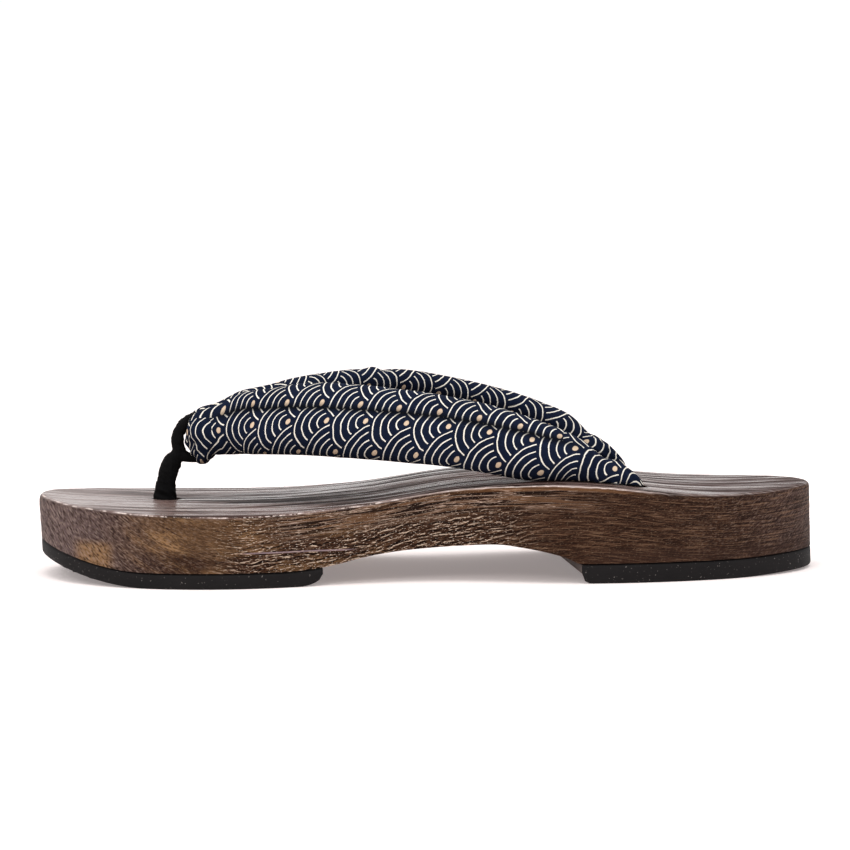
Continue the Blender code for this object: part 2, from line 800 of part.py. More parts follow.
def main():
    for stale in list(bpy.data.objects):
        bpy.data.objects.remove(stale, do_unlink=True)
    wood = material("dark brushed wood", (0.115, 0.062, 0.038), 0.45)
    rubber = material("black rubber", (0.018, 0.018, 0.019), 0.85)
    print_cloth = material("navy wave print cloth", (0.012, 0.020, 0.050), 0.9)
    plain_cloth = material("black cord cloth", (0.008, 0.008, 0.009), 0.95)
    wooden_base(wood)
    tread("front_tread", TOE_TIP, TOE_TIP + FRONT_TREAD_LENGTH, FRONT_TREAD_ROLL, rubber)
    tread("heel_tread", HEEL_TREAD_START, HEEL_TIP, 0, rubber)
    strap(print_cloth)
    toe_thong(plain_cloth)


main()
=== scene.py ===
"""Looks for the geta sandal: dark brushed wood, black rubber treads and a navy wave-print strap.

Metres, +Z up. The toe points to -X, -Y is the side that the photo shows.
"""
import math

import bmesh
import bpy
import numpy as np
from mathutils import Matrix, Vector
from mathutils.geometry import delaunay_2d_cdt


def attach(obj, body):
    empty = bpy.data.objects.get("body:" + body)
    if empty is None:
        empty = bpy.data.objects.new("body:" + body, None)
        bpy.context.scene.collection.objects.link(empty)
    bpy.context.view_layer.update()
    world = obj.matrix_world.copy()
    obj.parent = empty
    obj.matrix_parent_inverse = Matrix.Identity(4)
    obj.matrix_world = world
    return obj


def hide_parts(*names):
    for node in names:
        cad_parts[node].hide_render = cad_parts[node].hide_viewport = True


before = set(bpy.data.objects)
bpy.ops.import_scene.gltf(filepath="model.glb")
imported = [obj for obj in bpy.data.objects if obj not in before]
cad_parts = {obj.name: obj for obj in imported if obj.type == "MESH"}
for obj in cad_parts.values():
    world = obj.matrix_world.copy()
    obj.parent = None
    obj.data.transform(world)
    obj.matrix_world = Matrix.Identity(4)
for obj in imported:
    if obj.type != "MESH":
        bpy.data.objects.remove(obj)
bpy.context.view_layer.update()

# Sizes of the solids, in metres. APEX_UPPER_LEAN is in degrees.
BASE_LENGTH = 0.2658
FOREFOOT_WIDTH = 0.1030
WAIST_WIDTH = 0.0764
HEEL_WIDTH = 0.0960
TOE_ROUND = 0.0600
HEEL_ROUND = 0.0825
WAIST_BEHIND_TOE = 0.1275
TOE_TUCK = 0.0012
HEEL_FLARE = 0.0008
LEAN_POWER = 4
FOREFOOT_HEIGHT = 0.0236
INSTEP_RISE = 0.0087
BED_CROWN = 0.0010
EDGE_RADIUS = 0.0018
ARCH_BEHIND_TOE = 0.0805
ARCH_LIFT = 0.0074
FRONT_TREAD = 0.0052
HEEL_TREAD = 0.0066
FRONT_TREAD_LENGTH = 0.0935
HEEL_TREAD_LENGTH = 0.0865
FRONT_TREAD_ROLL = 0.0090
FRONT_TREAD_ROLL_RISE = 0.66
HEEL_TREAD_ROLL = 0.0035
HEEL_TREAD_ROLL_RISE = 0.50
TOE_SPRING = 0.0075
TOE_SPRING_LENGTH = 0.0355
TOE_SPRING_CURVE = 1.8
HEEL_SPRING = 0.0009
HEEL_SPRING_LENGTH = 0.0370
TREAD_GAP = 0.0003
THONG_HOLE_RADIUS = 0.0048
THONG_HOLE_BEHIND_TOE = 0.0430
STRAP_HOLE_RADIUS = 0.0050
STRAP_HOLE_SPREAD = 0.0310
NEAR_HOLE_BEFORE_HEEL = 0.0670
FAR_HOLE_BEFORE_HEEL = 0.0625
RECESS_RADIUS = 0.0095
RECESS_DEPTH = 0.0085
STRAP_THICKNESS = 0.0104
LOBE_LENGTH = 0.0165
LOBE_OVERLAP = 0.80
BEND_BEHIND_TOE = 0.0608
BEND_RADIUS = 0.0075
STRAP_RISE = 0.0318
APEX_DROP = 0.0047
APEX_LOWER_SHARE = 0.42
APEX_UPPER_SHARE = 0.20
APEX_THICKNESS_SHARE = 0.74
APEX_UPPER_LEAN = 90
BEND_BULGE_SHARE = 0.16
BEND_GATHERED_SHARE = 0.15
BEND_OPENING_SHARE = 0.65
STRAP_CLEARANCE = 0.0004
TAIL_RADIUS = 0.0037
TAIL_RISE = 0.0040
KNOT_HEIGHT = 0.0064
STRAND_THICKNESS = 0.0030
STRAND_WIDTH = 0.0044
STRAND_SLACK = 0.0014
POST_LENGTHWISE = 0.0071
POST_CROSSWISE = 0.0058
POST_LEAN = 0.0036
LOOP_FRONT_CORNER_POWER = 1.10
LOOP_BACK_CORNER_POWER = 0.62
THONG_CLEARANCE = 0.0004

TOE_TIP = -BASE_LENGTH / 2
HEEL_TIP = BASE_LENGTH / 2 - HEEL_FLARE
ARCH_START = TOE_TIP + ARCH_BEHIND_TOE
HEEL_TREAD_START = HEEL_TIP - HEEL_TREAD_LENGTH
THONG_HOLE = (TOE_TIP + THONG_HOLE_BEHIND_TOE, 0.0)
NEAR_HOLE = (HEEL_TIP - NEAR_HOLE_BEFORE_HEEL, -STRAP_HOLE_SPREAD)
FAR_HOLE = (HEEL_TIP - FAR_HOLE_BEFORE_HEEL, STRAP_HOLE_SPREAD)

BED_TABLE = (
    # station, rise
    (0.000, 0.31), (0.040, 0.20), (0.090, 0.11), (0.150, 0.03), (0.210, 0.00),
    (0.270, 0.00), (0.320, 0.05), (0.370, 0.16), (0.425, 0.33), (0.470, 0.54),
    (0.520, 0.76), (0.575, 0.91), (0.620, 0.99), (0.655, 1.00), (0.700, 0.93),
    (0.750, 0.76), (0.800, 0.59), (0.850, 0.50), (0.900, 0.48), (0.950, 0.52),
    (1.000, 0.57),
)
ARCH_TABLE = (
    # station, lift
    (0.00, 0.00), (0.07, 0.05), (0.14, 0.14), (0.20, 0.28), (0.26, 0.46), (0.38, 0.70),
    (0.50, 0.84), (0.62, 0.95), (0.73, 1.00), (0.81, 0.87), (0.88, 0.70), (0.95, 0.45),
    (1.00, 0.19),
)
ARM_TABLE = (
    # along, out, near_rise, far_rise, lower, upper, thickness, lower_lean, upper_lean
    (0.00, 0.00, 0.880, 0.880, 0.82, 0.28, 0.78, 6, 70),
    (0.06, 0.14, 0.950, 0.955, 0.90, 0.62, 0.86, 10, 64),
    (0.14, 0.34, 0.990, 1.010, 0.97, 0.87, 0.94, 14, 59),
    (0.22, 0.50, 1.000, 1.052, 1.00, 0.95, 1.00, 16, 58),
    (0.33, 0.68, 0.982, 1.100, 1.02, 0.96, 1.00, 17, 59),
    (0.44, 0.83, 0.948, 1.100, 1.02, 0.94, 1.00, 17, 61),
    (0.55, 0.95, 0.897, 1.040, 1.00, 0.90, 1.00, 16, 64),
    (0.66, 1.04, 0.815, 0.955, 0.98, 0.85, 1.00, 14, 68),
    (0.77, 1.09, 0.705, 0.845, 0.92, 0.76, 0.98, 12, 76),
    (0.86, 1.08, 0.590, 0.700, 0.80, 0.62, 0.92, 10, 84),
    (0.93, 1.04, 0.400, 0.480, 0.62, 0.44, 0.80, 6, 80),
)
POST_TABLE = (
    # rise, lean, lengthwise, crosswise
    (0.00, 0.00, 1.00, 1.00),
    (0.20, 0.00, 0.92, 0.97),
    (0.42, 0.08, 0.82, 0.93),
    (0.65, 0.30, 0.83, 0.90),
    (0.82, 0.62, 0.76, 0.88),
    (1.00, 1.00, 0.52, 0.74),
)


def read(table, at, column):
    """Read one column of a table at a station, on a smooth curve through its rows."""
    if at <= table[0][0]:
        return table[0][column]
    if at >= table[-1][0]:
        return table[-1][column]
    index = 0
    while table[index + 1][0] < at:
        index += 1
    here, there = table[index], table[index + 1]
    step = there[0] - here[0]

    def slope(which):
        if which == 0 or which == len(table) - 1:
            return 0.0
        before, after = table[which - 1], table[which + 1]
        return (after[column] - before[column]) / (after[0] - before[0])

    t = (at - here[0]) / step
    start_slope, end_slope = slope(index) * step, slope(index + 1) * step
    return (
        here[column] * (2 * t**3 - 3 * t**2 + 1)
        + start_slope * (t**3 - 2 * t**2 + t)
        + there[column] * (3 * t**2 - 2 * t**3)
        + end_slope * (t**3 - t**2)
    )


def half_wave(share):
    return 0.5 - 0.5 * math.cos(math.pi * min(max(share, 0.0), 1.0))


def half_width(x):
    forefoot = TOE_TIP + TOE_ROUND
    waist = TOE_TIP + WAIST_BEHIND_TOE
    heel = HEEL_TIP - HEEL_ROUND
    if x < forefoot:
        return FOREFOOT_WIDTH / 2 * math.sqrt(max(0.0, 1 - ((forefoot - x) / TOE_ROUND) ** 2))
    if x < waist:
        drawn_in = half_wave((x - forefoot) / (waist - forefoot))
        return (FOREFOOT_WIDTH - (FOREFOOT_WIDTH - WAIST_WIDTH) * drawn_in) / 2
    if x < heel:
        let_out = half_wave((x - waist) / (heel - waist))
        return (WAIST_WIDTH + (HEEL_WIDTH - WAIST_WIDTH) * let_out) / 2
    return HEEL_WIDTH / 2 * math.sqrt(max(0.0, 1 - ((x - heel) / HEEL_ROUND) ** 2))


def bed_height(x, y):
    rise = read(BED_TABLE, (x - TOE_TIP) / (HEEL_TIP - TOE_TIP), 1)
    crown = BED_CROWN * (1 - (y / (FOREFOOT_WIDTH / 2)) ** 2)
    return FOREFOOT_HEIGHT + INSTEP_RISE * rise + crown


def floor_gap(x):
    toe_start = TOE_TIP + TOE_SPRING_LENGTH
    heel_start = HEEL_TIP - HEEL_SPRING_LENGTH
    if x < toe_start:
        return TOE_SPRING * ((toe_start - x) / TOE_SPRING_LENGTH) ** TOE_SPRING_CURVE
    if x > heel_start:
        return HEEL_SPRING * half_wave((x - heel_start) / HEEL_SPRING_LENGTH)
    return 0.0


def underside_height(x):
    station = (x - ARCH_START) / (HEEL_TREAD_START - ARCH_START)
    if station <= 0:
        return FRONT_TREAD + floor_gap(x)
    if station >= 1:
        return HEEL_TREAD + floor_gap(x)
    lift = read(ARCH_TABLE, station, 1) * ARCH_LIFT
    last_lift = ARCH_TABLE[-1][1] * ARCH_LIFT
    return FRONT_TREAD + lift + (HEEL_TREAD - FRONT_TREAD - last_lift) * station


def wall_lean(x, z):
    depth = 1 - min(max(z / FOREFOOT_HEIGHT, 0.0), 1.0)
    toe_share = max(0.0, x / TOE_TIP) ** LEAN_POWER
    heel_share = max(0.0, x / HEEL_TIP) ** LEAN_POWER
    return depth * (TOE_TUCK * toe_share + HEEL_FLARE * heel_share)


# Strap

LOBE_STEPS = 26
ARM_RINGS = 230
BEND_RINGS = 46
TAIL_RINGS = 20
HEADING_STEP = 0.02     # step along a curve by which its direction is measured


def strap_section(lower, upper, thickness, lower_lean, upper_lean):
    """Outline across an arm from the outer crease, down round the lower lobe and over the upper one."""
    half = thickness / 2
    crease_angle = math.acos(LOBE_OVERLAP)
    down = Vector((math.sin(lower_lean), -math.cos(lower_lean)))
    up = Vector((-math.sin(upper_lean), math.cos(upper_lean)))
    outward = Vector((math.cos(lower_lean), math.sin(lower_lean)))
    upward = Vector((math.cos(upper_lean), math.sin(upper_lean)))
    crease = (outward + upward).normalized() * half * math.sin(crease_angle)

    def lobe(length, away, sideways):
        points = []
        for step in range(1, LOBE_STEPS):
            turn = (math.pi - crease_angle) * (1 - 2 * step / LOBE_STEPS)
            along = length / 2 * (LOBE_OVERLAP + math.cos(turn))
            points.append(away * along + sideways * half * math.sin(turn))
        return points

    return [crease, *lobe(lower, down, outward), -crease, *lobe(upper, up, -upward)]


def scaled_section(lower, upper, thickness, lower_lean, upper_lean):
    """A section from the shares and the degrees that ARM_TABLE holds."""
    return strap_section(
        LOBE_LENGTH * lower,
        LOBE_LENGTH * upper,
        STRAP_THICKNESS * thickness,
        math.radians(lower_lean),
        math.radians(upper_lean),
    )


def arm_core(along, side):
    hole = FAR_HOLE if side > 0 else NEAR_HOLE
    start = TOE_TIP + BEND_BEHIND_TOE
    out = BEND_RADIUS + (STRAP_HOLE_SPREAD - BEND_RADIUS) * read(ARM_TABLE, along, 1)
    rise = STRAP_RISE * read(ARM_TABLE, along, 3 if side > 0 else 2)
    return Vector((start + (hole[0] - start) * along, side * out, FOREFOOT_HEIGHT + rise))


def laid_on_bed(point):
    lowest = bed_height(point.x, point.y) + STRAP_CLEARANCE
    return Vector((point.x, point.y, max(point.z, lowest)))


def level_outward(heading, side):
    flat = Vector((heading.x, heading.y, 0)).normalized()
    return Vector((flat.y, -flat.x, 0)) * -side


def bend_rings(side):
    """Rings from the middle of the bend to the start of one arm, each with its core."""
    rings = []
    bend = Vector((TOE_TIP + BEND_BEHIND_TOE, 0, 0))
    height = arm_core(0, side).z
    lower, upper, thickness, lower_lean, upper_lean = ARM_TABLE[0][4:]
    for step in range(BEND_RINGS):
        share = step / BEND_RINGS
        full = half_wave((share - BEND_GATHERED_SHARE) / BEND_OPENING_SHARE)
        turn = math.radians(90) * share
        outward = Vector((-math.cos(turn), side * math.sin(turn), 0))
        core = bend + outward * BEND_RADIUS
        core.z = height - APEX_DROP * (1 - full)
        bulge = BEND_BULGE_SHARE * math.sin(math.pi * full)
        section = scaled_section(
            APEX_LOWER_SHARE + (lower - APEX_LOWER_SHARE) * full + bulge,
            APEX_UPPER_SHARE + (upper - APEX_UPPER_SHARE) * full,
            APEX_THICKNESS_SHARE + (thickness - APEX_THICKNESS_SHARE) * full,
            lower_lean * full,
            APEX_UPPER_LEAN + (upper_lean - APEX_UPPER_LEAN) * full,
        )
        rings.append((core, [core + outward * out + Vector((0, 0, up)) for out, up in section]))
    return rings


def tail_rings(side, start, last_ring):
    """Rings from the end of an arm down into its hole, where it is round."""
    hole = FAR_HOLE if side > 0 else NEAR_HOLE
    mouth = bed_height(*hole)
    turn_down = Vector((*hole, mouth + TAIL_RISE))
    inside = Vector((*hole, mouth + STRAP_CLEARANCE))
    outward = level_outward(turn_down - start, side)
    spread = [point - start for point in last_ring]
    rings = []
    for step in range(1, TAIL_RINGS + 1):
        t = step / TAIL_RINGS
        core = start * (1 - t) ** 2 + turn_down * 2 * t * (1 - t) + inside * t**2
        heading = ((turn_down - start) * (1 - t) + (inside - turn_down) * t).normalized()
        upward = outward.cross(heading) * -side
        ring = []
        for index, away in enumerate(spread):
            angle = 2 * math.pi * index / len(spread)
            round_point = (outward * math.cos(angle) - upward * math.sin(angle)) * TAIL_RADIUS
            ring.append(core + away.lerp(round_point, half_wave(t)))
        rings.append((core, ring))
    return rings


def arm_rings(side):
    """Rings of one arm from the middle of the bend into its hole, each with its core."""
    rings = bend_rings(side)
    last_along = ARM_TABLE[-1][0]
    for step in range(ARM_RINGS):
        along = last_along * step / (ARM_RINGS - 1)
        core = arm_core(along, side)
        ahead = arm_core(min(along + HEADING_STEP, last_along), side)
        behind = arm_core(max(along - HEADING_STEP, 0), side)
        heading = (ahead - behind).normalized()
        outward = level_outward(heading, side)
        upward = outward.cross(heading) * -side
        section = scaled_section(*(read(ARM_TABLE, along, column) for column in range(4, 9)))
        rings.append((core, [core + outward * out + upward * up for out, up in section]))
    rings += tail_rings(side, *rings[-1])
    return [(core, [laid_on_bed(point) for point in ring]) for core, ring in rings]


def measured_rings(side):
    """Rings of one arm, each with its length along the cloth from the middle of the bend."""
    measured, length, last = [], 0.0, None
    for core, ring in arm_rings(side):
        if last is not None:
            length += (core - last).length
        last = core
        measured.append((ring, side * length))
    return measured


def strap_rings():
    """All rings from the near hole to the far one. Lengths are negative on the near arm."""
    return measured_rings(-1)[::-1] + measured_rings(1)[1:]


def around(ring):
    """Distance of each point of a ring from its outer crease: positive down, negative up and over."""
    count = len(ring)
    half = count // 2
    down = [0.0]
    for index in range(1, half + 1):
        down.append(down[-1] + (ring[index] - ring[index - 1]).length)
    up = [0.0]
    for index in range(1, half + 1):
        up.append(up[-1] + (ring[-index] - ring[(1 - index) % count]).length)
    return down, up


# Noise for relief and folds

def value_noise(x, y, seed):
    """Smooth noise from -1 to 1 with cells one unit wide."""
    x, y = np.broadcast_arrays(np.asarray(x, float), np.asarray(y, float))
    cell_x, cell_y = np.floor(x), np.floor(y)
    part_x, part_y = x - cell_x, y - cell_y
    part_x = part_x**3 * (part_x * (part_x * 6 - 15) + 10)
    part_y = part_y**3 * (part_y * (part_y * 6 - 15) + 10)

    def corner(step_x, step_y):
        mixed = (cell_x + step_x).astype(np.int64) * 374761393
        mixed += (cell_y + step_y).astype(np.int64) * 668265263 + seed * 974634777
        mixed = (mixed ^ (mixed >> 13)) * 1274126177
        mixed = (mixed ^ (mixed >> 16)) & 0xFFFF
        return mixed / 32767.5 - 1

    low = corner(0, 0) * (1 - part_x) + corner(1, 0) * part_x
    high = corner(0, 1) * (1 - part_x) + corner(1, 1) * part_x
    return low * (1 - part_y) + high * part_y


def layered_noise(x, y, seed, layers=3):
    total, weight, size = 0.0, 1.0, 0.0
    for layer in range(layers):
        total = total + weight * value_noise(x * 2**layer, y * 2**layer, seed + layer)
        size += weight
        weight *= 0.5
    return total / size


def smooth_step(low, high, value):
    t = np.clip((np.asarray(value, float) - low) / (high - low), 0, 1)
    return t * t * (3 - 2 * t)


# Mesh helpers

OUTLINE_SAMPLES = 6000
CUT_STEPS = 70          # steps across a tread's straight inner end
HOLE_SIDES = 48
GRID_CLEAR_SHARE = 0.6  # least distance of a grid point from an edge, as a share of the grid's step

def outline_points(count, first=TOE_TIP, last=HEEL_TIP):
    """Evenly spaced points round the base, anticlockwise from above, cut straight at two lengths."""
    angles = np.linspace(0, 2 * math.pi, OUTLINE_SAMPLES, endpoint=False)
    xs = (TOE_TIP + HEEL_TIP) / 2 + (TOE_TIP - HEEL_TIP) / 2 * np.cos(angles)
    ys = np.array([half_width(x) for x in xs]) * np.where(angles < math.pi, -1, 1)
    points = np.stack([xs, ys], 1)
    steps = np.linalg.norm(np.roll(points, -1, 0) - points, axis=1)
    lengths = np.concatenate([[0], np.cumsum(steps)])
    closed = np.vstack([points, points[:1]])
    targets = np.linspace(0, lengths[-1], count, endpoint=False)
    even = np.stack([np.interp(targets, lengths, closed[:, axis]) for axis in (0, 1)], 1)
    along = np.roll(even, -1, 0) - np.roll(even, 1, 0)
    outward = np.stack([along[:, 1], -along[:, 0]], 1)
    outward /= np.linalg.norm(outward, axis=1)[:, None]
    if first <= TOE_TIP and last >= HEEL_TIP:
        return even, outward
    keep = (even[:, 0] > first) & (even[:, 0] < last)
    near = sorted((i for i in np.flatnonzero(keep) if even[i, 1] < 0), key=lambda i: even[i, 0])
    far = sorted((i for i in np.flatnonzero(keep) if even[i, 1] >= 0), key=lambda i: -even[i, 0])

    def cut(x, from_side, facing):
        width = half_width(x) * from_side
        row = np.array([(x, width * (1 - 2 * step / CUT_STEPS)) for step in range(CUT_STEPS + 1)])
        return row, np.tile((facing, 0.0), (CUT_STEPS + 1, 1))

    parts = []
    if first > TOE_TIP:
        parts.append(cut(first, 1, -1))
    parts.append((even[near], outward[near]))
    if last < HEEL_TIP:
        parts.append(cut(last, -1, 1))
    parts.append((even[far], outward[far]))
    return np.vstack([row for row, _ in parts]), np.vstack([facing for _, facing in parts])


def circle(centre, radius):
    angles = np.linspace(0, 2 * math.pi, HOLE_SIDES, endpoint=False)
    return np.stack([centre[0] + radius * np.cos(angles), centre[1] + radius * np.sin(angles)], 1)


def filled(loop, holes, step_x, step_y, first, last, inset):
    """Triangles that fill a loop with round holes, with their points and where each ring starts."""
    points = [loop, *(circle(centre, radius) for centre, radius in holes)]
    edges, starts, start = [], [], 0
    for ring in points:
        count = len(ring)
        edges += [(start + i, start + (i + 1) % count) for i in range(count)]
        starts.append(start)
        start += count
    grid = []
    clear = step_y * GRID_CLEAR_SHARE
    columns = int((last - first) / step_x)
    for column in range(1, columns + 1):
        x = first + (last - first) * column / (columns + 1)
        reach = half_width(x) - inset - clear
        if reach <= step_y:
            continue
        rows = max(2, int(2 * reach / step_y))
        shift = 0.25 * step_y * (-1) ** column
        for y in np.linspace(-reach, reach, rows) + shift:
            if all((x - c[0]) ** 2 + (y - c[1]) ** 2 > (r + clear) ** 2 for c, r in holes):
                grid.append((x, y))
    everything = np.vstack([*points, np.array(grid)])
    found = delaunay_2d_cdt([Vector(p) for p in everything], edges, [], 1, 1e-8)
    places = np.array([tuple(p) for p in found[0]])
    if len(places) != len(everything):
        raise ValueError("points were merged")
    triangles = np.array(found[2])
    middles = places[triangles].mean(1)
    keep = np.ones(len(triangles), bool)
    for centre, radius in holes:
        away = np.hypot(middles[:, 0] - centre[0], middles[:, 1] - centre[1])
        keep &= away > radius * 0.985
    return places, triangles[keep], starts


def new_piece(name, points, faces, material):
    mesh = bpy.data.meshes.new(name)
    mesh.from_pydata([tuple(map(float, p)) for p in points], [], [tuple(map(int, f)) for f in faces])
    mesh.validate()
    mesh.shade_smooth()
    mesh.materials.append(material)
    made = bpy.data.objects.new(name, mesh)
    bpy.context.scene.collection.objects.link(made)
    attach(made, "root")
    return made


def ring_faces(upper_start, lower_start, count, flip=False):
    """Quads between two rings of points, with faces outward when the rings run anticlockwise."""
    i = np.arange(count)
    j = (i + 1) % count
    quads = np.stack([lower_start + i, lower_start + j, upper_start + j, upper_start + i], 1)
    return quads[:, ::-1] if flip else quads


def turned_outward(mesh):
    work = bmesh.new()
    work.from_mesh(mesh)
    bmesh.ops.recalc_face_normals(work, faces=work.faces[:])
    work.to_mesh(mesh)
    work.free()


# Materials

class Graph:
    """Short ways to add shader nodes."""

    def __init__(self, name):
        self.material = bpy.data.materials.new(name)
        self.material.use_nodes = True
        self.nodes, self.links = self.material.node_tree.nodes, self.material.node_tree.links
        self.shader = self.nodes["Principled BSDF"]

    def put(self, socket, value):
        if isinstance(value, bpy.types.NodeSocket):
            self.links.new(value, socket)
        else:
            socket.default_value = (*value, 1) if isinstance(value, tuple) else value

    def math(self, operation, *values):
        node = self.nodes.new("ShaderNodeMath")
        node.operation = operation
        for index, value in enumerate(values):
            self.put(node.inputs[index], value)
        return node.outputs[0]

    def times(self, *values):
        total = values[0]
        for value in values[1:]:
            total = self.math("MULTIPLY", total, value)
        return total

    def plus(self, one, other):
        return self.math("ADD", one, other)

    def minus(self, one, other):
        return self.math("SUBTRACT", one, other)

    def larger(self, one, other):
        return self.math("MAXIMUM", one, other)

    def blend(self, share, one, other):
        node = self.nodes.new("ShaderNodeMix")
        for index, value in enumerate((share, one, other)):
            self.put(node.inputs[(0, 2, 3)[index]], value)
        return node.outputs[0]

    def mix(self, share, one, other):
        node = self.nodes.new("ShaderNodeMix")
        node.data_type = "RGBA"
        self.put(node.inputs[0], share)
        self.put(node.inputs[6], one)
        self.put(node.inputs[7], other)
        return node.outputs[2]

    def painted(self, colour, *layers):
        """Lay colours over one another, each with the share of it that shows."""
        for share, over in layers:
            colour = self.mix(share, colour, over)
        return colour

    def step(self, value, low, high, out_low=0.0, out_high=1.0):
        node = self.nodes.new("ShaderNodeMapRange")
        node.interpolation_type = "SMOOTHSTEP"
        for index, item in enumerate((value, low, high, out_low, out_high)):
            self.put(node.inputs[index], item)
        return node.outputs[0]

    def noise(self, place, scale, detail=3.0, rough=0.55, distortion=0.0):
        node = self.nodes.new("ShaderNodeTexNoise")
        self.links.new(place, node.inputs["Vector"])
        node.inputs["Scale"].default_value = scale
        node.inputs["Detail"].default_value = detail
        node.inputs["Roughness"].default_value = rough
        node.inputs["Distortion"].default_value = distortion
        return node.outputs["Fac"]

    def place(self, scale=(1, 1, 1), turn=(0, 0, 0)):
        coordinates = self.nodes.new("ShaderNodeTexCoord")
        mapping = self.nodes.new("ShaderNodeMapping")
        mapping.inputs["Scale"].default_value = scale
        mapping.inputs["Rotation"].default_value = turn
        self.links.new(coordinates.outputs["Object"], mapping.inputs["Vector"])
        return mapping.outputs[0]

    def object_output(self, name):
        """The three parts of the place or of the normal, in the object's own axes."""
        return self.parts(self.nodes.new("ShaderNodeTexCoord").outputs[name])

    def parts(self, socket):
        node = self.nodes.new("ShaderNodeSeparateXYZ")
        self.links.new(socket, node.inputs[0])
        return node.outputs

    def attribute(self, name):
        node = self.nodes.new("ShaderNodeAttribute")
        node.attribute_name = name
        return node.outputs["Fac"]

    def bump(self, height, strength, distance, normal=None):
        node = self.nodes.new("ShaderNodeBump")
        node.inputs["Strength"].default_value = strength
        node.inputs["Distance"].default_value = distance
        self.links.new(height, node.inputs["Height"])
        if normal is not None:
            self.links.new(normal, node.inputs["Normal"])
        return node.outputs[0]

    def finished(self, colour, roughness, gloss, normal):
        for name, value in (
            ("Base Color", colour),
            ("Roughness", roughness),
            ("Specular IOR Level", gloss),
            ("Normal", normal),
        ):
            self.put(self.shader.inputs[name], value)
        return self.material


# Wave print: rows of fans along the cloth, each of four arcs round a dot

PRINT_PERIOD = 13.5
PRINT_ROW_STEP = 6.75
PRINT_ROW_OFFSET = 10.9
FAN_RADIUS = 11.7
FIRST_ARC = 3.15
ARC_STEP = 2.45
ARC_COUNT = 4
ARC_WIDTH = 0.37
DOT_RADIUS = 0.90
CREASE_ROW = 3.54

# Cloth length of each dot of the crease row, with the dot's place in the row
LOWER_PHASE = (
    (-177.5, 13.0), (-164.1, 12.0), (-151.0, 11.0), (-135.2, 10.0), (-120.9, 9.0), (-106.8, 8.0),
    (-93.3, 7.0), (-79.4, 6.0), (-65.9, 5.0), (-53.0, 4.0), (-39.9, 3.0), (-27.3, 2.0),
    (-15.0, 1.0), (-6.6, 0.0), (10.0, -1.0), (22.8, -2.0), (35.9, -3.0), (48.9, -4.0),
    (61.4, -5.0), (75.6, -6.0), (88.3, -7.0), (102.5, -8.0), (116.9, -9.0), (132.8, -10.0),
    (146.5, -11.0), (160.5, -12.0), (174.5, -13.0),
)
# The same for the row that shows on the upper lobe, half a place further on
UPPER_PHASE = (
    (-177.5, 13.0), (-164.1, 12.0), (-151.0, 11.0), (-143.0, 10.5), (-129.7, 9.5), (-116.2, 8.5),
    (-102.7, 7.5), (-89.6, 6.5), (-76.1, 5.5), (-63.1, 4.5), (-50.2, 3.5), (-38.4, 2.5), (-26.5, 1.5),
    (-17.2, 0.5), (-2.0, -0.6), (16.0, -1.7), (32.5, -2.85), (48.4, -4.0), (60.2, -5.0),
    (74.1, -6.0), (86.5, -7.0), (100.3, -8.0), (114.2, -9.0), (129.7, -10.0), (144.5, -11.0),
    (160.5, -12.0), (174.5, -13.0),
)
# How far the print is shifted round the arm on each lobe, in mm, by cloth length
LOWER_SHIFT = (
    (-180.0, -3.4), (-94.8, 0.0), (-38.0, 2.3), (-27.0, 2.5), (-14.0, 1.5), (-4.0, -0.9),
    (4.0, -0.9), (14.0, 1.5), (30.0, 3.0), (60.0, 3.8), (180.0, 3.8),
)
UPPER_SHIFT = (
    (-130.5, 5.4), (-90.0, 5.7), (-28.8, 5.7), (0.0, 6.3), (60.0, 6.8), (97.0, 7.0),
    (123.0, 8.4), (138.0, 12.2), (152.0, 19.0), (180.0, 22.0),
)
# Height of the upper lobe's fans as a share of the lower one's, by cloth length
UPPER_FAN_SHARE = ((-180.0, 0.83), (-18.0, 0.83), (0.0, 1.0))
UPPER_DOT_ROW = 7.36
# Slant of the print's columns, and the row on the upper lobe that they slant from, by cloth length
PRINT_SLANT = ((-180.0, 0.18), (-110.0, 0.20), (-60.0, 0.27), (-20.0, 0.29), (40.0, 0.10), (180.0, 0.10))
UPPER_SLANT_FROM = ((-180.0, -7.0), (-20.0, -7.0), (40.0, -17.46), (180.0, -17.46))


def straight(table, at):
    return np.interp(at, [row[0] for row in table], [row[1] for row in table])


def print_place(length, across, upper):
    """Place in the print, in mm: along the rows, and across them."""
    shift = straight(UPPER_SHIFT if upper else LOWER_SHIFT, length)
    if upper:
        # on the near arm the dots of this row keep their place, and the fans above them stand taller
        dots_at = shift - UPPER_DOT_ROW
        across = dots_at + (across - dots_at) * straight(UPPER_FAN_SHARE, length)
    row = across - shift
    level = straight(UPPER_SLANT_FROM, length) if upper else CREASE_ROW
    slanted = length - straight(PRINT_SLANT, length) * (row - level)
    phase = straight(UPPER_PHASE if upper else LOWER_PHASE, slanted)
    return -phase * PRINT_PERIOD, row - CREASE_ROW


# Folds of the padded strap, with lengths in mm

# How far the underside bulges beside the strand, by cloth length
BELLY = (
    (0.0, 0.0), (4.0, 0.5), (7.0, 0.75), (9.8, 0.65), (11.4, -0.9), (13.3, -0.8), (16.0, -0.45),
    (19.0, -0.15), (23.0, 0.0),
)
# How far the cloth swells towards the toe beside the strand, by height
FRONT_SWELL = (
    (44.0, 0.0), (46.5, 2.2), (49.0, 3.6), (52.0, 4.4), (55.0, 4.4), (57.5, 2.4), (60.0, 0.3), (64.0, 0.0),
)
CREASE_DEPTH = 0.25
FAR_PEAK_AT = 69.0
FAR_FOLD_AT = 73.0
REAR_SINK = 1.8
CREASE_FILLING = 1.2
LOWER_ROW_GOES_OVER = -131.0    # behind this cloth length the lower lobe's print goes on over the crease
SHARP_FOLD = math.radians(52)


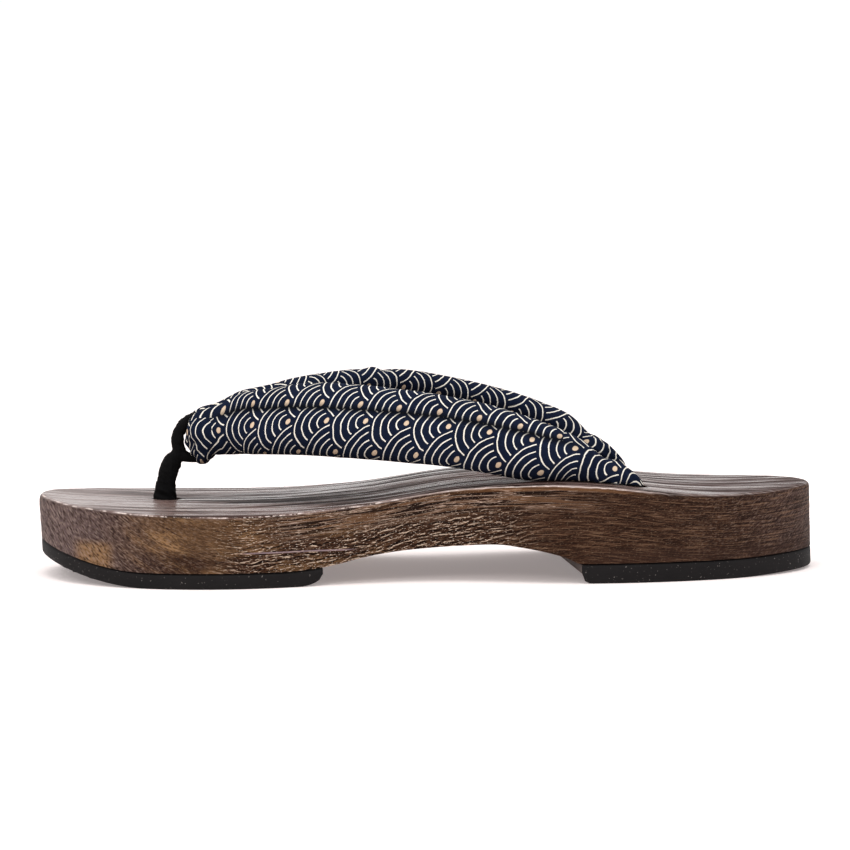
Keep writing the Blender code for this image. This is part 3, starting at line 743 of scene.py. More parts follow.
def hump(value, centre, width):
    """A smooth hump, 1 at its centre."""
    return math.exp(-(((value - centre) / width) ** 2))


def soft_folds(length, down):
    """How far the cloth stands out from the plain form at a place on the strap."""
    stuffing = 0.20 * layered_noise(length / 17, down / 12 + 40, 11)
    rumple = 0.09 * layered_noise(length / 5.2, down / 4.5, 23, 2)
    gather = hump(length, 0.0, 9.5)
    waver = 1.2 * value_noise(length / 7, down / 5, 31)
    pleats = 0.42 * gather * math.sin(down * 1.55 + 0.10 * length + waver)
    dents = 0.55 * gather * value_noise(length / 4.2, down / 3.1, 5)
    tail = smooth_step(146, 160, abs(length))
    tucks = 0.30 * tail * math.sin(down * 2.1 + 0.8 * value_noise(length / 6, down / 6, 37))
    return stuffing + rumple + pleats + dents + tucks


def placed_forms(place, normal, length, down, from_crease, lower):
    """Move one point of the strap for the forms that have a place of their own."""
    away = abs(length)
    # the far arm is pinched to a small peak, with a fold behind it
    if 50 < length < 90:
        fold = hump(length - 0.16 * (abs(down) - 14), FAR_FOLD_AT, 1.7)
        top = hump(down, -12.0, 7.5)
        place[2] += (0.80 * hump(length, FAR_PEAK_AT, 2.3) - 0.12 * fold) * top / 1000
        place += normal * (-0.9 * fold * hump(down, -18.0, 5.0)) / 1000
    # the lower lobe bulges beside the strand that goes under it
    if away < 26:
        place += normal * float(straight(BELLY, away)) * hump(down, 15.5, 6.0) / 1000
    # the cloth swells forward on both sides of the strand, and its upper lobe is tucked away there
    if away < 40:
        beside = hump(away, 7.0, 9.0) * (1 - 0.75 * hump(length, 0.0, 2.6))
        place[0] -= beside * float(straight(FRONT_SWELL, place[2] * 1000)) / 1000
        lifted = 1.6 * hump(away, 19.0, 8.0) - 2.3 * hump(away, 4.5, 6.5)
        place[2] += lifted * float(smooth_step(0.0515, 0.0585, place[2])) / 1000
    # at its rear end the near arm's upper lobe sinks behind the lower one
    if length < -128 and not lower:
        place[2] -= REAR_SINK / 1000 * float(smooth_step(128, 143, -length) * smooth_step(0.5, 6.0, -down))
    # towards the hole the lobes run together
    filling = float(smooth_step(128, 144, away) * (1 - smooth_step(148, 158, away)))
    if filling and from_crease < 1:
        place += normal * CREASE_FILLING * filling * (1 - from_crease**2) / 1000


def crease_shade(length, along_lobe, lobe_length, reach):
    """How much painted shade darkens the cloth in the creases, from 0 to 1."""
    seen = (1 - smooth_step(126, 142, abs(length))) * smooth_step(9, 20, abs(length))
    outer = seen * math.exp(-((along_lobe / reach) ** 1.5))
    inner = math.exp(-(((lobe_length - along_lobe) / 1.2) ** 1.5))
    return max(outer, inner)


def outward_normals(points):
    along = np.gradient(points, axis=0)
    across = np.roll(points, -1, 1) - np.roll(points, 1, 1)
    normals = np.cross(along, across)
    normals /= np.maximum(np.linalg.norm(normals, axis=2), 1e-12)[:, :, None]
    middle = points.mean(1, keepdims=True)
    return normals if ((points - middle) * normals).sum(2).mean() > 0 else -normals


def strap_cloth(material):
    rings, lengths = zip(*strap_rings())
    sides = len(rings[0])
    half = sides // 2
    placed = np.array([[tuple(point) for point in ring] for ring in rings])
    normals = outward_normals(placed)
    measures, shade = [], []
    for index, ring in enumerate(rings):
        length = lengths[index] * 1000
        down, up = ([1000 * distance for distance in lobe] for lobe in around(ring))
        measures.append((length, down, up))
        for k in range(sides):
            lower = k <= half
            lobe = down if lower else up
            along_lobe = lobe[k if lower else sides - k]
            signed = along_lobe if lower else -along_lobe
            steps_off = min(k, sides - k)
            if k in (0, half):
                out = -CREASE_DEPTH
            else:
                out = float(soft_folds(length, signed)) * min(steps_off / 6, abs(half - k) / 6, 1.0) ** 0.7
            place, normal = placed[index, k], normals[index, k]
            place += normal * out / 1000
            placed_forms(place, normal, length, signed, steps_off / 7, lower)
            place[2] = max(place[2], bed_height(*place[:2]) + STRAP_CLEARANCE)
            shade.append(crease_shade(length, along_lobe, lobe[half], 0.40 if lower else 1.05))

    def printed(ring, point, upper, own_row):
        length, down, up = measures[ring]
        if upper:
            return print_place(length, -up[(sides - point) % sides if point else 0], own_row)
        return print_place(length, down[point], False)

    faces, corners = [], []
    for index in range(len(rings) - 1):
        middle = (measures[index][0] + measures[index + 1][0]) / 2
        for k in range(sides):
            after = (k + 1) % sides
            upper = k >= half
            own_row = upper and middle > LOWER_ROW_GOES_OVER
            quad = ((index, k), (index, after), (index + 1, after), (index + 1, k))
            faces.append([ring * sides + point for ring, point in quad])
            corners += [printed(ring, point, upper, own_row) for ring, point in quad]
    last_ring = (len(rings) - 1) * sides
    caps = [list(range(sides))[::-1], list(range(last_ring, last_ring + sides))]
    mesh = bpy.data.meshes.new("strap_cloth")
    mesh.from_pydata(placed.reshape(-1, 3).tolist(), [], faces + caps)
    values = np.zeros((len(mesh.loops), 2))
    values[: len(corners)] = np.array(corners)
    mesh.uv_layers.new(name="print").data.foreach_set("uv", values.ravel())
    # painted shade in the creases, read by the print material
    mesh.attributes.new("crease", "FLOAT", "POINT").data.foreach_set("value", np.array(shade))
    mesh.materials.append(material)
    made = bpy.data.objects.new("strap_cloth", mesh)
    bpy.context.scene.collection.objects.link(made)
    turned_outward(mesh)
    mesh.shade_smooth()
    mesh.set_sharp_from_angle(angle=SHARP_FOLD)
    return made


THREAD_PAIR = 0.62      # width of two threads of the weave
PRINT_DRIFT = 0.9       # how far the print wanders, in mm
PRINT_BLUR = 0.07       # half the width over which an arc's edge fades
PRINT_LAYERS = 4        # rows of fans that can lie over one place


def print_material():
    g = Graph("navy_wave_print")
    uv = g.nodes.new("ShaderNodeUVMap")
    uv.uv_map = "print"
    place = g.place((1000, 1000, 1000))
    drift = g.nodes.new("ShaderNodeTexNoise")
    g.links.new(uv.outputs[0], drift.inputs["Vector"])
    drift.inputs["Scale"].default_value = 0.22
    drift.inputs["Detail"].default_value = 2.0
    split_drift = g.nodes.new("ShaderNodeSeparateColor")
    g.links.new(drift.outputs["Color"], split_drift.inputs[0])
    cloth = g.parts(uv.outputs[0])
    along, across = (
        g.plus(cloth[axis], g.times(g.minus(split_drift.outputs[axis], 0.5), PRINT_DRIFT)) for axis in (0, 1)
    )
    fray = g.times(g.minus(g.noise(place, 2.4, 1.0), 0.5), 0.16)

    def length_of(one, other):
        return g.math("SQRT", g.plus(g.times(one, one), g.times(other, other)))

    arcs = dots = covered = 0.0
    first = g.math("CEIL", g.math("DIVIDE", g.minus(along, FAN_RADIUS), PRINT_ROW_STEP))
    for layer in range(PRINT_LAYERS):
        row = g.plus(first, float(layer))
        odd = g.math("MODULO", g.math("ABSOLUTE", row), 2.0)
        side = g.plus(across, g.times(odd, PRINT_ROW_OFFSET))
        wrapped = g.math("WRAP", side, PRINT_ROW_OFFSET, -PRINT_ROW_OFFSET)
        ahead = g.minus(along, g.times(row, PRINT_ROW_STEP))
        distance = length_of(ahead, wrapped)
        inside = g.times(g.math("LESS_THAN", distance, FAN_RADIUS), g.math("GREATER_THAN", ahead, -1.6))
        number = g.math("DIVIDE", g.minus(distance, FIRST_ARC), ARC_STEP)
        nearest = g.math("MINIMUM", g.larger(g.math("ROUND", number), 0.0), ARC_COUNT - 1.0)
        off = g.times(g.math("ABSOLUTE", g.minus(number, nearest)), ARC_STEP)
        arc = g.step(g.plus(off, fray), ARC_WIDTH / 2 - PRINT_BLUR, ARC_WIDTH / 2 + PRINT_BLUR, 1.0, 0.0)
        arc = g.times(arc, g.step(ahead, -0.35, 0.15))
        round_off = length_of(g.times(ahead, 1.12), g.times(wrapped, 0.86))
        dot = g.step(g.plus(round_off, fray), DOT_RADIUS - 0.09, DOT_RADIUS + 0.09, 1.0, 0.0)
        open_here = g.times(inside, g.minus(1.0, covered))
        arcs = g.plus(arcs, g.times(arc, open_here))
        dots = g.plus(dots, g.times(dot, open_here))
        covered = g.larger(covered, inside)

    warp, weft = (g.math("SINE", g.times(cloth[axis], 2 * math.pi / THREAD_PAIR)) for axis in (0, 1))
    slub = g.noise(place, 0.9, 3.0, 0.6)
    cloudy = g.noise(place, 0.09, 3.0, 0.55)
    navy = g.mix(cloudy, (0.0034, 0.0056, 0.0150), (0.0080, 0.0125, 0.0300))
    cream = g.mix(cloudy, (0.80, 0.74, 0.63), (0.93, 0.89, 0.80))
    tan = g.mix(cloudy, (0.54, 0.38, 0.26), (0.72, 0.58, 0.43))
    # painted shade where the cloth faces down, and in the crease between the lobes
    painted_underside_shade = g.step(g.object_output("Normal")[2], 0.15, -0.85)
    colour = g.painted(
        navy,
        (g.times(g.step(slub, 0.45, 0.8), 0.40), (0.013, 0.023, 0.055)),
        (g.times(g.math("MINIMUM", arcs, 1.0), g.plus(0.72, g.times(g.step(slub, 0.28, 0.40), 0.28))), cream),
        (g.math("MINIMUM", dots, 1.0), tan),
        (g.times(painted_underside_shade, 0.55), (0.0020, 0.0018, 0.0022)),
        (g.times(g.attribute("crease"), 0.93), (0.0012, 0.0014, 0.0022)),
    )
    woven = g.bump(g.times(warp, weft), 0.30, 0.00006)
    return g.finished(colour, 0.88, 0.04, g.bump(g.noise(place, 0.35, 3.0), 0.35, 0.0004, woven))


# Wood

WOOD_SIDES = 960
SIDE_ROWS = 34
EDGE_ROWS = 5
TOP_GRID = (0.0019, 0.00105)
LOW_GRID = (0.0036, 0.0030)
GRAIN_ANGLES = (
    # length along the base in mm, slope of the brushed ridges in degrees
    (-133.0, -60.0), (-122.0, -56.0), (-110.0, -44.0), (-95.0, -24.0), (-60.0, 2.0), (-20.0, 8.0),
    (20.0, 11.0), (60.0, 8.0), (95.0, 18.0), (120.0, 40.0), (133.0, 48.0),
)
RIDGE_STRENGTH = (
    # length along the base in mm, share of the full ridges
    (-133, 0.5), (-110, 0.35), (-75, 0.6), (-20, 1.0), (40, 1.0), (70, 0.6), (133, 0.55),
)
RIDGE_RELIEF = 0.00016
WAVE_RELIEF = 0.00014
EDGE_CHIPS = 0.00028
EDGE_WEAR = 0.00022
HOLES = ((THONG_HOLE, THONG_HOLE_RADIUS), (NEAR_HOLE, STRAP_HOLE_RADIUS), (FAR_HOLE, STRAP_HOLE_RADIUS))
RECESSES = tuple((centre, RECESS_RADIUS) for centre, _ in HOLES)


def grain_places():
    """For each length along the base, the drop of the ridges and the length measured along them."""
    xs = np.linspace(-0.134, 0.134, 2000)
    angle = np.radians(straight(GRAIN_ANGLES, xs * 1000))
    angle = angle + np.radians(7) * value_noise(xs * 1000 / 15, xs * 0, 3)
    step = xs[1] - xs[0]
    return xs, np.cumsum(np.tan(angle)) * step, np.cumsum(1 / np.cos(angle)) * step


def edge_rings(loop, outward):
    """Rings from the flat of the top down round its worn edge, and how far up the edge each lies."""
    lengths = np.concatenate([[0], np.cumsum(np.linalg.norm(np.roll(loop, -1, 0) - loop, axis=1)[:-1])])
    chips = np.array([layered_noise(length * 1000 / 2.6, 0.3, 51, 3) for length in lengths])
    broad = np.array([layered_noise(length * 1000 / 11, 8.1, 57, 2) for length in lengths])
    worn = EDGE_CHIPS * np.clip(chips - 0.05, 0, 1) + EDGE_WEAR * np.clip(broad, 0, 1)
    rings = []
    for step in range(EDGE_ROWS + 1):
        angle = math.pi / 2 * step / EDGE_ROWS
        ring = loop - outward * EDGE_RADIUS * (1 - math.sin(angle))
        z = np.array([bed_height(x, y) for x, y in ring]) - EDGE_RADIUS * (1 - math.cos(angle))
        near_edge = math.sin(math.pi * (step + 0.6) / (EDGE_ROWS + 1.2))
        ring = ring - outward * (worn * near_edge)[:, None]
        rings.append((np.column_stack([ring, z - worn * near_edge * 0.8]), 1 - step / EDGE_ROWS))
    return rings


def side_rings(loop, outward, grain):
    """Rings down the side, with its brushed ridges."""
    xs, drop_table, along_table = grain
    base_top = np.array([bed_height(x, y) for x, y in loop]) - EDGE_RADIUS
    base_low = np.array([underside_height(x) for x, _ in loop])
    rings = []
    for row in range(1, SIDE_ROWS + 1):
        share = row / SIDE_ROWS
        z = base_top + (base_low - base_top) * share
        ring = loop.copy()
        ring[:, 0] += [wall_lean(x, height) for x, height in zip(loop[:, 0], z)]
        x = ring[:, 0]
        across = (z - np.interp(x, xs, drop_table)) * 1000
        along = np.interp(x, xs, along_table) * 1000
        ridges = 1 - np.abs(layered_noise(along / 7.5, across / 1.45 + 30, 61, 2)) * 2.2
        strength = straight(RIDGE_STRENGTH, x * 1000) * smooth_step(0.02, 0.30, share)
        strength = strength * (1 - 0.75 * smooth_step(0.60, 0.72, share) * (x > 0.05))
        waves = WAVE_RELIEF * layered_noise(along / 22, across / 4.5, 71, 2)
        fade = min(1.0, (SIDE_ROWS + 0.6 - row) / 1.6)
        ring += outward * ((RIDGE_RELIEF * ridges * strength + waves) * fade)[:, None]
        rings.append((np.column_stack([ring, z]), 0.0))
    return rings


def wood_base(material):
    loop, outward = outline_points(WOOD_SIDES)
    count = len(loop)
    grain = grain_places()
    rings = edge_rings(loop, outward) + side_rings(loop, outward, grain)
    top_inset = loop - outward * EDGE_RADIUS
    margin = 0.002
    top_places, top_faces, top_starts = filled(
        top_inset, HOLES, *TOP_GRID, TOE_TIP + margin, HEEL_TIP - margin, EDGE_RADIUS
    )
    low_loop = rings[-1][0]
    low_places, low_faces, low_starts = filled(
        low_loop[:, :2], RECESSES, *LOW_GRID, TOE_TIP + 2 * margin, HEEL_TIP - 2 * margin, 0.0
    )
    points, faces, top_value = [], [], []
    start = 0

    def add(block, on_top):
        nonlocal start
        points.append(block)
        top_value.append(np.full(len(block), on_top))
        start += len(block)
        return start - len(block)

    def join(upper, lower, sides, inside=False):
        faces.extend(tuple(quad) for quad in ring_faces(upper, lower, sides, inside))

    x, y = top_places[:, 0], top_places[:, 1]
    z = np.array([bed_height(*place) for place in top_places])
    inside = np.arange(len(top_places)) >= top_starts[-1] + HOLE_SIDES
    grain_lines = layered_noise(x * 1000 / 34, y * 1000 / 1.9 + 3.3 * np.sin(x * 38), 81, 3)
    dips = layered_noise(x * 1000 / 30, y * 1000 / 16, 87, 2)
    z = z + inside * (0.00007 * grain_lines + 0.00012 * dips)
    top_at = add(np.column_stack([x, y, z]), 1.0)
    faces += [tuple(face) for face in top_faces + top_at]
    low_points = np.column_stack([low_places, [underside_height(x) for x in low_places[:, 0]]])
    low_points[:count] = low_loop
    above = top_at
    for ring, on_top in rings[1:-1]:
        ring_at = add(ring, on_top)
        join(above, ring_at, count)
        above = ring_at
    low_at = add(low_points, 0.0)
    join(above, low_at, count)
    faces += [tuple(face[::-1]) for face in low_faces + low_at]
    for hole, (centre, radius) in enumerate(HOLES):
        ceiling = np.full(HOLE_SIDES, underside_height(centre[0]) + RECESS_DEPTH)
        bore_low = add(np.column_stack([circle(centre, radius), ceiling]), 0.0)
        recess_up = add(np.column_stack([circle(centre, RECESS_RADIUS), ceiling]), 0.0)
        join(top_at + top_starts[hole + 1], bore_low, HOLE_SIDES, True)
        join(bore_low, recess_up, HOLE_SIDES, True)
        join(recess_up, low_at + low_starts[hole + 1], HOLE_SIDES, True)
    everywhere = np.vstack(points)
    made = new_piece("wood_base", everywhere, faces, material)
    xs, drop_table, along_table = grain
    ends = 0.0002
    edge_line = [bed_height(x, half_width(x)) for x in np.clip(xs, TOE_TIP + ends, HEEL_TIP - ends)]
    x, z = everywhere[:, 0], everywhere[:, 2]
    for name, values in (
        ("top", np.concatenate(top_value)),
        ("grain_across", (z - np.interp(x, xs, drop_table)) * 1000),
        ("grain_along", np.interp(x, xs, along_table) * 1000),
        ("under_edge", (np.interp(x, xs, edge_line) - z) * 1000),
    ):
        made.data.attributes.new(name, "FLOAT", "POINT").data.foreach_set("value", values)
    turned_outward(made.data)
    made.data.shade_smooth()
    made.data.set_sharp_from_angle(angle=math.radians(50))
    return made


def wood_material():
    g = Graph("dark_brushed_wood")
    top = g.attribute("top")
    across = g.attribute("grain_across")
    along = g.attribute("grain_along")
    under_edge = g.attribute("under_edge")
    spot = g.object_output("Object")
    x, y, z = (g.times(spot[axis], 1000.0) for axis in range(3))

    def streak(one, one_size, other, other_size, third, detail, rough, distortion):
        node = g.nodes.new("ShaderNodeCombineXYZ")
        g.put(node.inputs[0], g.times(one, 1.0 / one_size))
        g.put(node.inputs[1], g.times(other, 1.0 / other_size))
        g.put(node.inputs[2], third)
        return g.noise(node.outputs[0], 1.0, detail, rough, distortion)

    def less(share):
        return g.minus(1.0, share)

    # the brushed side: short ridges that follow the grain, finer fibres, straight lines near the top edge
    turned = g.times(y, 1 / 40.0)
    ridges = streak(along, 4.2, across, 0.96, turned, 1.0, 0.45, 0.8)
    # the ridges once more, a little higher, to paint light and shade on their slopes
    ridges_above = streak(along, 4.2, g.plus(across, 0.34), 0.96, turned, 1.0, 0.45, 0.8)
    slope = g.minus(ridges, ridges_above)
    hatch = streak(along, 1.5, across, 0.50, turned, 1.0, 0.5, 0.5)
    fine = streak(along, 2.4, across, 0.34, turned, 2.0, 0.6, 0.3)
    fibres = streak(along, 1.0, across, 0.30, turned, 1.0, 0.5, 0.2)
    straight_lines = streak(x, 18.0, under_edge, 0.62, turned, 2.0, 0.55, 0.25)
    fine_lines = streak(x, 9.0, under_edge, 0.40, turned, 1.0, 0.5, 0.3)
    thin_line = g.math("ABSOLUTE", g.minus(straight_lines, 0.52))
    broad = streak(x, 19.0, across, 5.0, turned, 3.0, 0.55, 0.6)
    painted_glints = streak(along, 0.75, across, 0.24, 4.0, 0.0, 0.5, 0.0)

    # the top: wavy bands along the base, with fibres in them, and patches for its painted sheen
    bands = streak(x, 85.0, y, 5.2, 3.0, 3.5, 0.62, 0.35)
    thin_bands = streak(x, 48.0, y, 2.2, 9.0, 3.0, 0.60, 0.25)
    pores = streak(x, 9.0, y, 0.5, 7.0, 2.0, 0.6, 0.1)
    painted_sheen = streak(x, 60.0, y, 9.0, 1.0, 3.0, 0.5, 0.4)

    # where each finish lies
    toe = g.step(x, -85.0, -128.0)
    heel = g.step(x, 92.0, 126.0)
    rear = g.step(x, 5.0, 70.0)
    smooth_band = g.times(g.step(x, 40.0, 58.0), g.step(z, 13.0, 9.5))
    upper_side = g.times(g.step(under_edge, 11.0, 5.0), g.step(x, -70.0, -45.0), g.step(x, 60.0, 30.0))
    bold = g.times(g.step(x, -82.0, -58.0), g.step(x, 38.0, 8.0), less(g.times(upper_side, 0.45)))
    fine_ends = g.larger(g.step(x, -62.0, -92.0), g.step(x, 60.0, 100.0))
    rippled = g.times(
        g.plus(0.42, g.times(bold, 0.58)),
        less(g.times(smooth_band, 0.92)),
        less(g.times(fine_ends, 0.80)),
        less(g.times(upper_side, 0.65)),
    )
    lined = g.larger(upper_side, g.times(g.step(x, -5.0, 30.0), 0.85))
    line_here = g.larger(g.times(upper_side, 0.90), g.times(smooth_band, 0.55))

    # golden stretches along the toe's side, and a patch low on it
    golden = g.step(streak(x, 17.0, across, 6.0, 11.0, 2.0, 0.5, 0.3), 0.46, 0.64)
    golden_front = g.times(golden, g.step(x, 0.0, -45.0), g.step(x, -114.0, -92.0), 0.36)
    gold_here = g.times(g.step(x, -110.0, -92.0), g.step(x, -48.0, -66.0), g.step(z, 9.0, 14.0))
    golden_side = g.times(gold_here, g.plus(0.45, golden), 0.62)
    gold_low = g.times(g.step(x, -122.0, -117.0), g.step(x, -106.0, -111.0), g.step(z, 16.0, 12.5))
    gold = g.larger(golden_front, g.larger(golden_side, g.times(gold_low, 0.85)))

    # a scored line low on the side
    wander = g.times(g.minus(g.noise(g.place((40, 40, 0)), 1.0, 1.0), 0.5), 0.8)
    scored = g.math("ABSOLUTE", g.plus(g.minus(z, 11.7), wander))
    scored_here = g.times(g.step(x, -68.0, -62.0), g.step(x, -27.0, -33.0), 0.70)

    side = g.painted(
        g.mix(broad, (0.025, 0.0104, 0.0060), (0.056, 0.0255, 0.0137)),
        (rear, g.mix(broad, (0.026, 0.0110, 0.0066), (0.054, 0.0245, 0.0135))),
        # painted reflection: the toe, and less the heel, turn pale purple-grey
        (
            g.larger(g.times(toe, 0.78), g.times(heel, 0.25)),
            g.mix(broad, (0.120, 0.084, 0.084), (0.190, 0.138, 0.134)),
        ),
        (gold, (0.285, 0.160, 0.074)),
        (g.times(g.step(ridges, 0.50, 0.62), rippled, 0.30), (0.125, 0.064, 0.036)),
        # painted shade on the ridges' lower slopes, painted light on their upper slopes, and painted
        # highlights where they face up most
        (g.times(g.step(slope, -0.030, -0.100), rippled, 0.95), (0.0050, 0.0022, 0.0016)),
        (
            g.times(g.step(slope, 0.060, 0.130), rippled, g.plus(0.22, g.times(bold, 0.30))),
            (0.225, 0.126, 0.078),
        ),
        (g.times(g.step(slope, 0.100, 0.145), g.step(fibres, 0.38, 0.56), bold, 0.90), (0.66, 0.51, 0.39)),
        (
            g.times(g.step(hatch, 0.48, 0.37), fine_ends, g.minus(0.90, g.times(gold_here, 0.25))),
            (0.022, 0.012, 0.010),
        ),
        (g.times(g.step(hatch, 0.55, 0.66), fine_ends, g.plus(0.22, g.times(toe, 0.30))), (0.36, 0.27, 0.22)),
        (g.times(g.step(fine_lines, 0.48, 0.38), lined, 0.85), (0.011, 0.0045, 0.003)),
        (g.times(g.step(fine_lines, 0.56, 0.66), lined, 0.55), (0.190, 0.110, 0.066)),
        (g.times(g.step(fine, 0.46, 0.36), 0.55), (0.013, 0.006, 0.004)),
        (g.times(g.step(fibres, 0.58, 0.72), 0.22), (0.230, 0.150, 0.105)),
        (g.times(g.step(straight_lines, 0.53, 0.58), upper_side, 0.70), (0.150, 0.078, 0.042)),
        (g.times(g.step(straight_lines, 0.485, 0.43), line_here), (0.009, 0.004, 0.003)),
        # painted highlight: thin pale lines along the straight lines near the top edge
        (
            g.times(g.step(thin_line, 0.020, 0.006), g.step(broad, 0.36, 0.52), upper_side, 0.85),
            (0.50, 0.36, 0.28),
        ),
        # painted highlights: small pale glints, stronger on the bold ridges
        (
            g.times(g.step(painted_glints, 0.70, 0.78), g.plus(g.times(bold, 0.65), 0.30)),
            g.mix(bold, (0.40, 0.275, 0.18), (0.68, 0.57, 0.48)),
        ),
        (g.times(smooth_band, 0.35), (0.042, 0.022, 0.016)),
        (g.times(g.step(scored, 0.34, 0.12), scored_here), (0.34, 0.25, 0.27)),
    )

    painted_highlight_line = g.math("ABSOLUTE", g.minus(thin_bands, 0.56))
    face = g.painted(
        g.mix(g.step(bands, 0.35, 0.65), (0.044, 0.019, 0.012), (0.150, 0.088, 0.074)),
        # painted sheen: paler patches across the top
        (g.times(g.step(painted_sheen, 0.45, 0.70), 0.40), (0.165, 0.104, 0.098)),
        (g.times(g.step(bands, 0.485, 0.43), 0.88), (0.010, 0.0045, 0.0040)),
        (g.times(g.step(bands, 0.55, 0.62), 0.60), (0.25, 0.170, 0.145)),
        (g.times(g.step(thin_bands, 0.44, 0.36), 0.75), (0.012, 0.006, 0.005)),
        (g.times(g.step(pores, 0.40, 0.28), 0.45), (0.012, 0.007, 0.006)),
        # painted highlight: thin pale lines along the fine bands
        (g.times(g.step(painted_highlight_line, 0.022, 0.006), 0.50), (0.42, 0.32, 0.30)),
        # painted reflection: the top is paler towards the toe
        (g.times(toe, 0.50), (0.24, 0.170, 0.155)),
        (g.times(g.step(x, 70.0, 95.0), 0.45), (0.050, 0.026, 0.023)),
    )

    # the worn edge between the two: a pale broken line of painted highlight, with a painted warm glow under
    # it by the instep
    broken = g.step(streak(x, 2.2, y, 5.0, 5.0, 4.0, 0.70, 0.2), 0.46, 0.60)
    whole = g.larger(broken, g.times(g.step(x, -20.0, 10.0), 0.60))
    edge = g.times(g.step(top, 0.50, 0.60), g.step(top, 0.80, 0.70))
    edge_share = g.minus(0.88, g.times(g.step(x, 50.0, 78.0), 0.72))
    painted_glow = g.times(
        g.step(top, 0.02, 0.20), g.step(top, 0.66, 0.50), g.step(x, -12.0, 20.0), g.step(x, 74.0, 50.0)
    )
    colour = g.painted(
        side,
        (g.step(top, 0.25, 0.75), face),
        (g.times(painted_glow, g.plus(0.10, broad), 0.62), (0.24, 0.110, 0.045)),
        (g.times(edge, whole, edge_share), (0.66, 0.55, 0.50)),
    )

    on_top = g.step(top, 0.3, 0.9)
    open_grain = g.times(g.step(bands, 0.47, 0.56), g.step(thin_bands, 0.36, 0.46))
    rough_side = g.plus(0.48, g.times(fine, 0.22))
    rough_top = g.plus(0.46, g.times(open_grain, -0.27))
    gloss_top = g.plus(g.plus(0.015, g.times(toe, 0.35)), g.times(open_grain, 1.15))
    side_height = g.plus(g.times(ridges, rippled), g.times(fine, 0.30))
    side_height = g.plus(side_height, g.times(straight_lines, line_here, 0.6))
    top_height = g.plus(g.times(bands, 0.9), g.times(thin_bands, 0.45))
    top_height = g.plus(top_height, g.times(pores, 0.15))
    height = g.blend(g.step(top, 0.1, 0.6), side_height, top_height)
    return g.finished(
        colour,
        g.blend(on_top, rough_side, rough_top),
        g.blend(on_top, 0.035, gloss_top),
        g.bump(height, 1.0, 0.0013),
    )


# Treads

TREAD_POINTS = 420
TREAD_GRID = (0.0030, 0.0030)
TREAD_ROUNDING = 0.0005
TREAD_ROUGHNESS = 0.00010
TREAD_ROWS = (
    # height as a share of the tread's, inset as a share of its rounding
    (1.0, 1.0), (0.93, 0.15), (0.80, 0.0), (0.55, 0.0), (0.30, 0.0), (0.12, 0.0), (0.04, 0.35), (0.0, 1.0),
)


def rubber_tread(name, first, last, material):
    """A tread of rubber, with its inner end rounded off underneath."""
    loop, outward = outline_points(TREAD_POINTS, first, last)
    count = len(loop)
    holes = [(centre, radius) for centre, radius in RECESSES if first < centre[0] < last]
    if last < 0:
        roll, rise, inner_end, backward = FRONT_TREAD_ROLL, FRONT_TREAD_ROLL_RISE, last, -1
    else:
        roll, rise, inner_end, backward = HEEL_TREAD_ROLL, HEEL_TREAD_ROLL_RISE, first, 1

    def topside(x):
        return underside_height(x) - TREAD_GAP

    def underside(x):
        low = floor_gap(x)
        into = (inner_end - x) * backward + roll
        if into <= 0:
            return low
        share = min(into / roll, 1.0)
        return low + (topside(x) - low) * rise * (1 - math.sqrt(1 - share**2))

    points, faces = [], []
    heights_top = np.array([topside(x) for x in loop[:, 0]])
    heights_low = np.array([underside(x) for x in loop[:, 0]])
    for share, inset in TREAD_ROWS:
        z = heights_low + (heights_top - heights_low) * share
        ring = loop - outward * inset * TREAD_ROUNDING
        ring[:, 0] += [wall_lean(x, height) for x, height in zip(loop[:, 0], z)]
        unevenness = layered_noise(loop[:, 0] * 1000 / 3 + 9, loop[:, 1] * 1000 / 3 + z * 400, 91, 2)
        ring += outward * (TREAD_ROUGHNESS * unevenness * math.sin(math.pi * share))[:, None]
        points.append(np.column_stack([ring, z]))
    rings_at = [count * row for row in range(len(TREAD_ROWS))]
    for upper, lower in zip(rings_at, rings_at[1:]):
        faces += [tuple(quad) for quad in ring_faces(upper, lower, count)]
    margin = 0.003
    inner_first, inner_last = first + margin, last - margin
    start = count * len(TREAD_ROWS)
    hole_rings = []
    for ring_at, height, order in ((rings_at[0], topside, 1), (rings_at[-1], underside, -1)):
        edge = points[ring_at // count][:, :2]
        places, triangles, starts = filled(edge, holes, *TREAD_GRID, inner_first, inner_last, 0.0006)
        points.append(np.column_stack([places, [height(x) for x in places[:, 0]]])[count:])
        seats = np.concatenate([ring_at + np.arange(count), start + np.arange(len(places) - count)])
        faces += [tuple(seats[triangle][::order]) for triangle in triangles]
        hole_rings.append([start - count + ring for ring in starts[1:]])
        start += len(places) - count
    for upper, lower in zip(*hole_rings):
        faces += [tuple(quad) for quad in ring_faces(upper, lower, HOLE_SIDES, True)]
    made = new_piece(name, np.vstack(points), faces, material)
    turned_outward(made.data)
    made.data.shade_smooth()
    made.data.set_sharp_from_angle(angle=math.radians(55))
    return made


GROOVE_STEP = 0.0026


